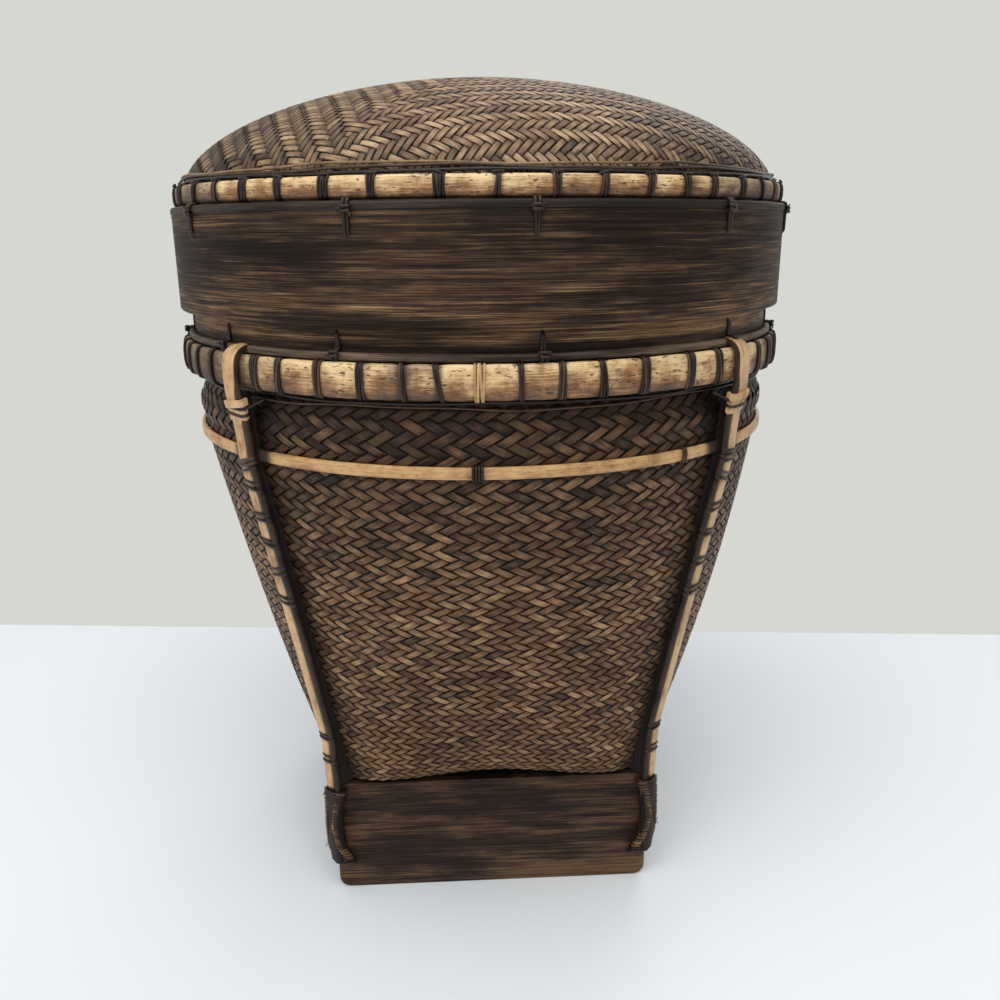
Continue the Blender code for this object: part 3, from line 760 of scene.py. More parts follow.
class Tool:
    """A Geometry Nodes tree with named inputs."""

    def __init__(self, name: str, inputs: dict[str, str]) -> None:
        """Starts the tree.

        Args:
            name: The tree's name.
            inputs: The socket type of each named input.
        """
        self.tree = bpy.data.node_groups.new(name, "GeometryNodeTree")
        self.graph = Graph(self.tree)
        face = self.tree.interface
        face.new_socket("Geometry", in_out="OUTPUT", socket_type="NodeSocketGeometry")
        for label, kind in {"Geometry": "NodeSocketGeometry", **inputs}.items():
            face.new_socket(label, in_out="INPUT", socket_type=kind)
        self.start = self.tree.nodes.new("NodeGroupInput")

    def given(self, label: str) -> Signal:
        """One of the tree's inputs."""
        return Signal(self.graph, self.start.outputs[label])

    def held(self, label: str, kind: str = "FLOAT_VECTOR") -> Signal:
        """A named attribute of the guide."""
        return self.graph.node("GeometryNodeInputNamedAttribute", {"data_type": kind}, {0: label})

    def close(self, shape: Signal) -> None:
        """Ends the tree in plain geometry with its finish.

        Args:
            shape: The geometry.
        """
        real = self.graph.node("GeometryNodeRealizeInstances", None, {"Geometry": shape})
        inputs = {"Geometry": real, "Material": self.given("Finish")}
        dressed = self.graph.node("GeometryNodeSetMaterial", None, inputs)
        end = self.tree.nodes.new("NodeGroupOutput")
        self.tree.links.new(dressed.socket, end.inputs[0])

    def apply(self, made: bpy.types.Object, values: dict[str, object]) -> None:
        """Runs the tree on a guide and keeps the result as a plain mesh.

        Args:
            made: The guide, which becomes the piece.
            values: The value of each named input.
        """
        modifier = made.modifiers.new(self.tree.name, "NODES")
        modifier.node_group = self.tree
        for item in self.tree.interface.items_tree:
            if item.in_out == "INPUT" and item.name in values:
                modifier[item.identifier] = values[item.name]
        settled(made)


def float_tool() -> Tool:
    """Builds the tree that lays one woven float on every point of a guide.

    Returns:
        The tool.
    """
    tool = Tool(
        "lay_floats",
        {
            "Float": "NodeSocketObject",
            "Width Spread": "NodeSocketFloat",
            "Turn Spread": "NodeSocketFloat",
            "Seed": "NodeSocketInt",
            "Finish": "NodeSocketMaterial",
        },
    )
    graph = tool.graph
    spread, turn, seed = tool.given("Width Spread"), tool.given("Turn Spread"), tool.given("Seed")
    shape = graph.node("GeometryNodeObjectInfo", None, {"Object": tool.given("Float")}, "Geometry")
    axes = {"primary_axis": "X", "secondary_axis": "Z"}
    sockets = {0: tool.held("forward"), 1: tool.held("outward")}
    facing = graph.node("FunctionNodeAxesToRotation", axes, sockets)
    swing = graph.node(
        "FunctionNodeRandomValue", {"data_type": "FLOAT"}, {2: turn * -1.0, 3: turn, 8: seed}, 1
    )
    twist = graph.node("FunctionNodeAxisAngleToRotation", None, {0: (0, 0, 1), 1: swing})
    settings = {"rotation_space": "LOCAL"}
    facing = graph.node("FunctionNodeRotateRotation", settings, {0: facing, 1: twist})
    limits = {2: 1.0 - spread, 3: 1.0 + spread, 8: seed + 1.0}
    width = graph.node("FunctionNodeRandomValue", {"data_type": "FLOAT"}, limits, 1)
    stretch = {0: tool.held("size"), 1: graph.join(1.0, width, 1.0)}
    size = graph.node("ShaderNodeVectorMath", {"operation": "MULTIPLY"}, stretch)
    inputs = {"Points": tool.given("Geometry"), "Instance": shape, "Rotation": facing, "Scale": size}
    laid = graph.node("GeometryNodeInstanceOnPoints", None, inputs)
    real = graph.node("GeometryNodeRealizeInstances", None, {"Geometry": laid})
    slide = tool.held("side", "FLOAT") * tool.held("lean", "FLOAT")
    inputs = {0: tool.held("forward"), "Scale": slide}
    offset = graph.node("ShaderNodeVectorMath", {"operation": "SCALE"}, inputs)
    tool.close(graph.node("GeometryNodeSetPosition", None, {"Geometry": real, "Offset": offset}))
    return tool


def strand_tool() -> Tool:
    """Builds the tree that draws a round strand along every line of a guide.

    Returns:
        The tool.
    """
    tool = Tool("draw_strands", {"Sides": "NodeSocketInt", "Finish": "NodeSocketMaterial"})
    graph = tool.graph
    line = graph.node("GeometryNodeMeshToCurve", None, {"Mesh": tool.given("Geometry")})
    circle = {"Resolution": tool.given("Sides"), "Radius": 1.0}
    profile = graph.node("GeometryNodeCurvePrimitiveCircle", None, circle)
    inputs = {
        "Curve": line,
        "Profile Curve": profile,
        "Scale": tool.held("radius", "FLOAT"),
        "Fill Caps": True,
    }
    tool.close(graph.node("GeometryNodeCurveToMesh", None, inputs))
    return tool


FLOAT_TOOL = float_tool()
STRAND_TOOL = strand_tool()


@dataclass
class Line:
    """The middle line of a thin strand."""

    points: np.ndarray
    radius: float | np.ndarray
    tone: float | np.ndarray = 0.3
    closed: bool = False


def hand_over(
    made: bpy.types.Object, body: str, nodes: tuple[str, ...], finish: Finish | None = None
) -> None:
    """Finishes a piece: its material, the body it rides on and the solids that it stands for.

    Args:
        made: The piece.
        body: The CAD body.
        nodes: The CAD nodes that it replaces.
        finish: Its finish, where it has none yet.
    """
    if finish:
        made.data.materials.clear()
        made.data.materials.append(finish.material())
    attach(made, body)
    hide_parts(*nodes)
    LOG.info("%s: %d faces on %s", made.name, len(made.data.polygons), body)


def strands(name: str, lines: list[Line], body: str, nodes: tuple[str, ...], sides: int = 6) -> None:
    """Draws thin dark strands as one piece and finishes it.

    Args:
        name: The piece's name.
        lines: The strands' middle lines.
        body: The CAD body that they ride on.
        nodes: The CAD nodes that they replace.
        sides: How many sides each strand has.
    """
    points, edges, radii, tones, start = [], [], [], [], 0
    for line in lines:
        count = len(line.points)
        index = np.arange(count) + start
        edges += np.stack([index[:-1], index[1:]], -1).tolist()
        if line.closed:
            edges.append([int(index[-1]), start])
        points.append(line.points)
        radii.append(np.broadcast_to(line.radius, count))
        tones.append(np.broadcast_to(line.tone, count))
        start += count
    mesh = bpy.data.meshes.new(name)
    mesh.from_pydata(np.concatenate(points).tolist(), edges, [])
    keep_values(mesh, "radius", np.concatenate(radii))
    keep_values(mesh, "tone", np.concatenate(tones))
    made = in_scene(name, mesh)
    STRAND_TOOL.apply(made, {"Sides": sides, "Finish": STRANDS.material()})
    made.data.shade_smooth()
    hand_over(made, body, nodes)


def nodes_named(start: str) -> tuple[str, ...]:
    """Finds CAD nodes by the start of their names."""
    return tuple(sorted(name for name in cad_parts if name.startswith(start)))


def round_points(
    radius: np.ndarray | float, height: np.ndarray | float, turn: np.ndarray | float
) -> np.ndarray:
    """Places points round the axis."""
    radius, height, turn = np.broadcast_arrays(radius, height, turn)
    return np.stack([radius * np.cos(turn), radius * np.sin(turn), height], -1)


@dataclass
class Weave:
    """A wall of floats that lie over and under along two sets of strips."""

    thickness: float = 0.0007
    fill: float = 0.86
    overlap: float = 0.22
    arch_up: float = 0.25
    seed: int = 4

    def point(self, x: np.ndarray, y: np.ndarray) -> np.ndarray:
        """Finds the place of lattice coordinates on the wall."""
        raise NotImplementedError

    def stamp(self) -> bpy.types.Object:
        """Makes one float: crowned along and across, with ends that dive.

        Returns:
            The float, one unit long, wide and thick.
        """
        along = np.array([-1.0, -0.88, -0.5, 0.5, 0.88, 1.0])
        across = np.array([-1.0, -0.74, 0.74, 1.0])
        a, b = np.meshgrid(along, across, indexing="ij")
        height = -self.arch_up * a**2 - 0.8 * np.abs(a) ** 9 - 0.3 * np.abs(b) ** 6
        grid = np.stack([a / 2, b / 2, height], -1)
        made = skin("float", grid, wrap_columns=False, values={"side": b / 2})
        mesh = made.data
        corners = np.zeros(len(mesh.loops), np.int32)
        mesh.loops.foreach_get("vertex_index", corners)
        unit = np.stack([(a.ravel() + 1) / 2, (b.ravel() + 1) / 2], -1)[corners]
        mesh.uv_layers["strip"].data.foreach_set("uv", unit.astype(np.float32).ravel())
        normals = [polygon.normal.z for polygon in mesh.polygons]
        if sum(normals) < 0:
            mesh.flip_normals()
        return made

    def floats(
        self, x: np.ndarray, y: np.ndarray, slant: int, run: np.ndarray
    ) -> dict[str, np.ndarray]:
        """Works out where floats lie.

        Args:
            x: The lattice coordinates of their middles.
            y: The lattice coordinates of their middles, upwards.
            slant: 1 for strips that rise to the right, -1 for the others.
            run: Half of each float's length in crossings.

        Returns:
            The middles, directions and sizes.
        """
        ends = self.point(x + slant * run, y + run) - self.point(x - slant * run, y - run)
        side = self.point(x - slant * 0.5, y + 0.5) - self.point(x + slant * 0.5, y - 0.5)
        length = np.linalg.norm(ends, axis=1, keepdims=True)
        forward = ends / length
        across = side - (side * forward).sum(1, keepdims=True) * forward
        width = np.linalg.norm(across, axis=1, keepdims=True)
        outward = np.cross(forward, across / width)
        middle = self.point(x, y)
        away = middle - np.array([0, 0, middle[:, 2].mean() - 0.02])
        outward *= np.sign((outward * away).sum(1, keepdims=True))
        wide = width * self.fill
        size = np.concatenate([length + width * self.overlap, wide, np.full_like(width, self.thickness)], 1)
        leftward = np.cross(outward, forward)
        lean = wide[:, 0] * (side * forward).sum(1) / (side * leftward).sum(1)
        made = {"middle": middle, "forward": forward, "outward": outward, "size": size, "lean": lean}
        return {**made, "worn": np.zeros(len(middle))}

    def lay(
        self, name: str, groups: list[dict[str, np.ndarray]], tones: list[np.ndarray], finish: Finish
    ) -> bpy.types.Object:
        """Lays all the floats of a wall.

        Args:
            name: The piece's name.
            groups: What the method floats gave for each group.
            tones: The tone of each float, group by group.
            finish: The floats' finish.

        Returns:
            The piece.
        """
        mesh = bpy.data.meshes.new(name)
        mesh.from_pydata(np.concatenate([g["middle"] for g in groups]).tolist(), [], [])
        for key in ("forward", "outward", "size"):
            keep_values(mesh, key, np.concatenate([g[key] for g in groups]))
        keep_values(mesh, "tone", np.concatenate(tones))
        for key in ("lean", "worn"):
            keep_values(mesh, key, np.concatenate([g[key] for g in groups]))
        made = in_scene(name, mesh)
        stamp = self.stamp()
        FLOAT_TOOL.apply(
            made,
            {
                "Float": stamp,
                "Width Spread": 0.06,
                "Turn Spread": 0.03,
                "Seed": self.seed,
                "Finish": finish.material(),
            },
        )
        bpy.data.objects.remove(stamp)
        made.data.shade_smooth()
        return made

    def strip_tones(self, strip: np.ndarray, spread: float, seed: int, lift: float = 0.0) -> np.ndarray:
        """Gives every float the tone of its strip, and a little of its own.

        Args:
            strip: The number of each float's strip.
            spread: How far single floats differ.
            seed: The seed of the strips' tones.
            lift: How much paler they all are.

        Returns:
            The tones, mostly from 0 to 1.
        """
        chance = np.random.default_rng(seed)
        count = 997
        by_strip = chance.beta(2.2, 2.2, count)
        own = chance.normal(0, spread, len(strip))
        odd = chance.random(len(strip))
        tone = 0.3 + lift + by_strip[strip.astype(int) % count] * 0.4 + own
        return np.clip(np.where(odd < 0.03, tone * 0.3, tone), 0.0, 1.0)

    def add_wall(self, made: bpy.types.Object) -> bpy.types.SolidifyModifier:
        """Gives a shell its thickness inwards, less that of the floats.

        Args:
            made: The shell.

        Returns:
            The modifier.
        """
        solid = made.modifiers.new("wall", "SOLIDIFY")
        solid.thickness = WALL_THICKNESS - self.thickness
        solid.offset = -1
        return solid


@dataclass
class Body(Weave):
    """The woven body, square at its foot and round from the waist up."""

    half_width: float = 0.052
    corner: float = 0.0705
    waist: float = 0.0955
    low: float = 0.0418
    arch: float = 0.0042
    lopsided: float = 0.022
    waist_height: float = 0.1602
    top: float = 0.1909
    floor: float = 0.0448
    floats_round: int = 105
    fullness: float = 0.54
    # Painted shade beside the corner ribs and under the rim: how dark it is, and how far it reaches.
    corner_shade: float = 0.9
    corner_reach: float = 7.2
    top_shade: float = 0.5
    mouth: float = 0.1818
    strip_levels: tuple[float, ...] = (0.0, 0.4, 0.66, 0.85, 1.0)
    strip_widths: tuple[float, ...] = (0.00225, 0.00232, 0.0024, 0.00265, 0.00292)
    upper_heights: tuple[float, ...] = (0.1602, 0.1642, 0.1713, 0.1788, 0.1909)
    upper_radii: tuple[float, ...] = (0.0955, 0.0955, 0.0968, 0.0943, 0.0943)
    floor_rings: tuple[tuple[float, int], ...] = ((0.93, 3), (0.75, 10), (0.5, 19), (0.25, 28), (0.04, 36))
    levels: np.ndarray = field(default_factory=lambda: np.zeros(0))
    turns: np.ndarray = field(default_factory=lambda: np.zeros((0, 0)))

    def __post_init__(self) -> None:
        """Tabulates equal steps round each level, and the levels of the crossings."""
        turn = np.linspace(math.pi / 2, 2.5 * math.pi, 1441)
        share = np.linspace(0, 1, 33)
        rows = []
        for level in share:
            points = self.wall(turn, np.full_like(turn, level))
            step = np.linalg.norm(np.diff(points[:, :2], axis=0), axis=1)
            walked = np.concatenate([[0], np.cumsum(step)]) / step.sum()
            rows.append(np.interp(np.linspace(0, 1, 721), walked, turn))
        self.turns = np.array(rows)
        levels = [1 + (self.mouth - self.waist_height) / self.rise]
        around = np.linspace(0, 2 * math.pi, 181)
        while levels[-1] > -0.03:
            here = self.wall(around, np.full_like(around, max(levels[-1], 0)))
            below = self.wall(around, np.full_like(around, max(levels[-1], 0) - 0.01))
            slope = np.linalg.norm(here - below, axis=1).mean() / 0.01
            size = np.linalg.norm(np.diff(here[:, :2], axis=0), axis=1).sum()
            half = size / (2 * self.floats_round)
            strip = float(np.interp(levels[-1], self.strip_levels, self.strip_widths))
            levels.append(levels[-1] - 1 / math.sqrt(4 / strip**2 - 1 / half**2) / slope)
        self.levels = np.array(levels)

    @property
    def rise(self) -> float:
        """The height from the foot's edge to the waist."""
        return self.waist_height - self.low

    def wall(self, turn: np.ndarray, share: np.ndarray) -> np.ndarray:
        """Finds points of the wall.

        Args:
            turn: The angle round the axis.
            share: 0 at the foot and 1 at the waist, and more above it.

        Returns:
            The points.
        """
        low = self.low + self.arch * np.cos(2 * turn) ** 2
        height = np.where(
            share <= 1, low + (self.waist_height - low) * share, self.waist_height + (share - 1) * self.rise
        )
        part = np.clip(share, 1e-4, 1)
        side = self.half_width + (self.waist - self.half_width) * part**self.fullness
        corner = self.corner + (self.waist - self.corner) * part
        power = 1 / np.maximum(0.02, 0.5 - np.log2(corner / side))
        sums = np.abs(np.cos(turn)) ** power + np.abs(np.sin(turn)) ** power
        radius = side / sums ** (1 / power)
        bulge = np.clip(np.cos(turn), 0, 1) ** 2 * np.sin(math.pi * np.clip(share, 0, 1))
        radius = radius * (1 + self.lopsided * bulge)
        radius = np.where(share > 1, np.interp(height, self.upper_heights, self.upper_radii), radius)
        return round_points(radius, height, turn)

    def turn_at(self, part: np.ndarray, share: np.ndarray) -> np.ndarray:
        """Finds the angle at a part of the way round a level.

        Args:
            part: The part, from the back.
            share: The level.

        Returns:
            The angles.
        """
        whole = np.floor(part)
        row = np.clip(share, 0, 1) * (len(self.turns) - 1)
        column = (part - whole) * (self.turns.shape[1] - 1)
        r0 = np.minimum(row.astype(int), len(self.turns) - 2)
        c0 = np.minimum(column.astype(int), self.turns.shape[1] - 2)
        r, c = row - r0, column - c0
        upper = self.turns[r0, c0] * (1 - c) + self.turns[r0, c0 + 1] * c
        lower = self.turns[r0 + 1, c0] * (1 - c) + self.turns[r0 + 1, c0 + 1] * c
        return upper * (1 - r) + lower * r + whole * 2 * math.pi

    def point(self, x: np.ndarray, y: np.ndarray) -> np.ndarray:
        """Places lattice coordinates on the body; y counts crossings down from the rim."""
        share = np.interp(y, np.arange(len(self.levels)), self.levels)
        return self.wall(self.turn_at(x / (2 * self.floats_round), share), share)

    def weave(self) -> bpy.types.Object:
        """Builds the floats of the herringbone.

        Returns:
            The piece.
        """
        count = 2 * self.floats_round
        groups, tones = [], []
        for slant, first, shift in ((1, 0.5, -0.5), (-1, 2.5, 0.5)):
            rows = np.arange(first, len(self.levels) - 2, 4)
            rows = rows[self.levels[(rows + 0.5).astype(int)] > 0.015]
            x, y = np.meshgrid(np.arange(0, count, 2) + shift, rows)
            x, y = x.ravel(), y.ravel()
            groups.append(self.floats(x, y, slant, np.ones_like(x)))
            strip = (y - slant * x) / 2 + 400
            place = groups[-1]["middle"]
            turn = np.degrees(np.arctan2(place[:, 1], place[:, 0]))
            # Painted shade: darker near the corner ribs and, above 0.165 m, under the rim.
            corner = np.abs(turn % 90 - 45)
            top = np.clip((place[:, 2] - 0.165) / 0.012, 0, 1)
            at_corner = np.exp(-((corner / self.corner_reach) ** 3))
            groups[-1]["worn"] = self.corner_shade * at_corner + self.top_shade * top
            tones.append(self.strip_tones(strip % 400, 0.12, self.seed + slant))
        return self.lay("body_weave", groups, tones, BODY_WEAVE)

    def shell(self) -> bpy.types.Object:
        """Builds the wall behind the floats, with the basket's floor.

        Returns:
            The piece.
        """
        steps = 192
        part = np.linspace(0, 1, steps, endpoint=False)
        top = 1 + (self.top - self.waist_height) / self.rise
        levels = np.concatenate([np.linspace(top, 1, 14), np.linspace(0.97, 0, 30)])
        rows = [self.wall(self.turn_at(part, np.full(steps, s)), np.full(steps, s)) for s in levels]
        edge = rows[-1]
        for share, _ in self.floor_rings:
            ring = edge * share
            ring[:, 2] = edge[:, 2] + (self.floor - edge[:, 2]) * (1 - share)
            rows.append(ring)
        grid = np.array(rows)
        made = skin("body_shell", grid[::-1])
        open_end(made, is_upper=True)
        x = np.linspace(0, 2 * self.floats_round, steps + 1)
        y = np.interp(-levels, -self.levels, np.arange(len(self.levels)))
        y = np.concatenate([y, y[-1] + np.array([crossings for _, crossings in self.floor_rings])])[::-1]
        self.set_lattice(made, x, y, steps)
        self.sink(made, -self.thickness)
        self.add_wall(made).use_even_offset = False
        return settled(made)

    @staticmethod
    def set_lattice(made: bpy.types.Object, x: np.ndarray, y: np.ndarray, steps: int) -> None:
        """Writes lattice coordinates to a shell's UV map.

        Args:
            made: The shell.
            x: The coordinate of each column, and of the seam.
            y: The coordinate of each row.
            steps: How many columns there are.
        """
        mesh = made.data
        layer = mesh.uv_layers["strip"]
        for polygon in mesh.polygons:
            columns = [v % steps for v in polygon.vertices]
            wraps = max(columns) - min(columns) > steps / 2
            for loop, vertex in zip(polygon.loop_indices, polygon.vertices):
                column = vertex % steps
                column = steps if wraps and column < steps / 2 else column
                layer.data[loop].uv = (x[column], y[vertex // steps])

    @staticmethod
    def sink(made: bpy.types.Object, distance: float) -> None:
        """Moves a shell's points along their normals.

        Args:
            made: The shell.
            distance: How far, in metres; less than 0 is inwards.
        """
        normals = [vertex.normal.copy() for vertex in made.data.vertices]
        for vertex, normal in zip(made.data.vertices, normals):
            vertex.co += normal * distance

    def build(self) -> None:
        """Builds the body's two pieces."""
        hand_over(self.weave(), "basket", ("basket_body",))
        hand_over(self.shell(), "basket", ("basket_body",), BODY_TWILL)


@dataclass
class Dome(Weave):
    """The lid's woven dome, a flat mat of herringbone pressed over a form."""

    radius: float = 0.0954
    low: float = 0.2288
    shoulder: float = 0.2366
    rise: float = 0.0335
    fullness: float = 1.8
    half_wide: float = 0.001445
    half_tall: float = 0.00143
    over: int = 3
    turned: float = math.radians(9.2)
    centre: tuple[float, float] = (0.0192, -0.0097)
    # Painted light and shade on the dome: a lighter front, a darker right, and a darker left for each slant.
    front_painted_light: float = 0.16
    right_painted_shade: float = 0.32
    left_painted_shade: tuple[float, float] = (0.42, 0.16)
    profile: np.ndarray = field(default_factory=lambda: np.zeros((0, 3)))

    def __post_init__(self) -> None:
        """Tabulates the way from the crown down to the lower edge."""
        turn = np.linspace(math.pi / 2, 0, 200)
        radius = self.radius * np.cos(turn) ** (2 / self.fullness)
        height = self.shoulder + self.rise * np.sin(turn) ** (2 / self.fullness)
        radius, height = np.append(radius, self.radius), np.append(height, self.low)
        walked = np.concatenate([[0], np.cumsum(np.hypot(np.diff(radius), np.diff(height)))])
        self.profile = np.stack([walked, radius, height], -1)

    def point(self, x: np.ndarray, y: np.ndarray) -> np.ndarray:
        """Places lattice coordinates, which start at the pattern's own centre, on the dome.

        Args:
            x: Crossings to the right of the centre.
            y: Crossings to the back of the centre.

        Returns:
            The points.
        """
        u = x * self.half_wide + self.centre[0]
        v = y * self.half_tall + self.centre[1]
        across = u * math.cos(self.turned) - v * math.sin(self.turned)
        back = u * math.sin(self.turned) + v * math.cos(self.turned)
        walked, turn = np.hypot(across, back), np.arctan2(back, across)
        radius = np.interp(walked, self.profile[:, 0], self.profile[:, 1])
        height = np.interp(walked, self.profile[:, 0], self.profile[:, 2])
        return round_points(radius, height, turn)

    def runs(self) -> dict[int, np.ndarray]:
        """Finds the floats: the longest stretches in which a strip lies over.

        Returns:
            Middle x, middle y, half length and strip of the floats of each slant.
        """
        reach, longest = 84, 3.0
        index = np.arange(-reach, reach + 1)
        i, j = np.meshgrid(index, index, indexing="ij")
        x, y = i - j, i + j
        level = np.abs(y) * self.half_tall >= np.abs(x) * self.half_wide
        over = np.where(level, y % (2 * self.over) < self.over, x % (2 * self.over) < self.over)
        found: dict[int, list[tuple[float, ...]]] = {-1: [], 1: []}
        for slant, table in ((-1, over), (1, ~over.T)):
            for strip, row in zip(index, table):
                edges = np.flatnonzero(np.diff(np.concatenate([[0], row.astype(int), [0]])))
                for start, stop in zip(edges[::2], edges[1::2]):
                    middle, half = index[0] + (start + stop - 1) / 2, min((stop - start) / 2, longest)
                    first, second = (strip, middle) if slant == -1 else (middle, strip)
                    found[slant].append((first - second, first + second, half, strip))
        return {slant: np.array(rows) for slant, rows in found.items()}

    def weave(self) -> bpy.types.Object:
        """Builds the dome's floats down to just under its hoop.

        Returns:
            The piece.
        """
        groups, tones = [], []
        for slant, rows in self.runs().items():
            x, y, half, strip = rows.T
            keep = self.point(x, y)[:, 2] > self.shoulder - 0.0035
            x, y, half, strip = x[keep], y[keep], half[keep], strip[keep]
            groups.append(self.floats(x, y, slant, half))
            across, back, _ = groups[-1]["middle"].T
            left, right = np.clip((-across - 0.045) / 0.035, 0, 1), np.clip((across - 0.025) / 0.05, 0, 1)
            front = np.clip((-back - 0.05) / 0.03, 0, 1) * np.clip((0.06 - np.abs(across)) / 0.03, 0, 1)
            # Painted light and shade: one slant lighter than the other, the front lighter, the right and the
            # left darker.
            tone = self.strip_tones(strip + 300, 0.09, self.seed + slant, -0.12 * slant)
            tone += self.front_painted_light * front - self.right_painted_shade * right
            tone -= self.left_painted_shade[0 if slant == 1 else 1] * left
            tones.append(np.clip(tone, 0, 1))
        return self.lay("dome_weave", groups, tones, DOME_WEAVE)

    def shell(self) -> bpy.types.Object:
        """Builds the wall behind the dome's floats.

        Returns:
            The piece.
        """
        steps = 160
        walked = np.concatenate([np.linspace(0.002, self.profile[-2, 0], 30), [self.profile[-1, 0]]])
        section = np.stack(
            [np.interp(walked, self.profile[:, 0], self.profile[:, k]) for k in (1, 2)], -1
        )
        section[:, 1] -= self.thickness * np.linspace(1, 0, len(section)) ** 0.3
        section[:, 0] -= self.thickness * np.linspace(0, 1, len(section)) ** 0.5
        made = skin("dome_shell", round_grid(section, steps).transpose(1, 0, 2))
        open_end(made, is_upper=False)
        layer = made.data.uv_layers["strip"]
        turn = np.arctan2(*[np.array([v.co[k] for v in made.data.vertices]) for k in (1, 0)])
        away = np.repeat(walked, steps)
        x, y = away * np.cos(turn) / self.half_wide, away * np.sin(turn) / self.half_tall
        for loop in made.data.loops:
            layer.data[loop.index].uv = (x[loop.vertex_index], y[loop.vertex_index])
        self.add_wall(made)
        return settled(made)

    def build(self) -> None:
        """Builds the dome's two pieces."""
        hand_over(self.weave(), "lid", ("lid_dome",))
        hand_over(self.shell(), "lid", ("lid_dome",), DOME_TWILL)


@dataclass(frozen=True)
class Stain:
    """Grime on a hoop: its angle and reach in degrees, and how dark it is."""

    angle: float
    reach: float
    amount: float


@dataclass(frozen=True)
class GuardCane:
    """A thin cane beside a hoop: its course, its waves, and its tone at the front and the left."""

    radius: float
    height: float
    thick: float
    sway: float
    phase: float
    tone: float
    paler: float


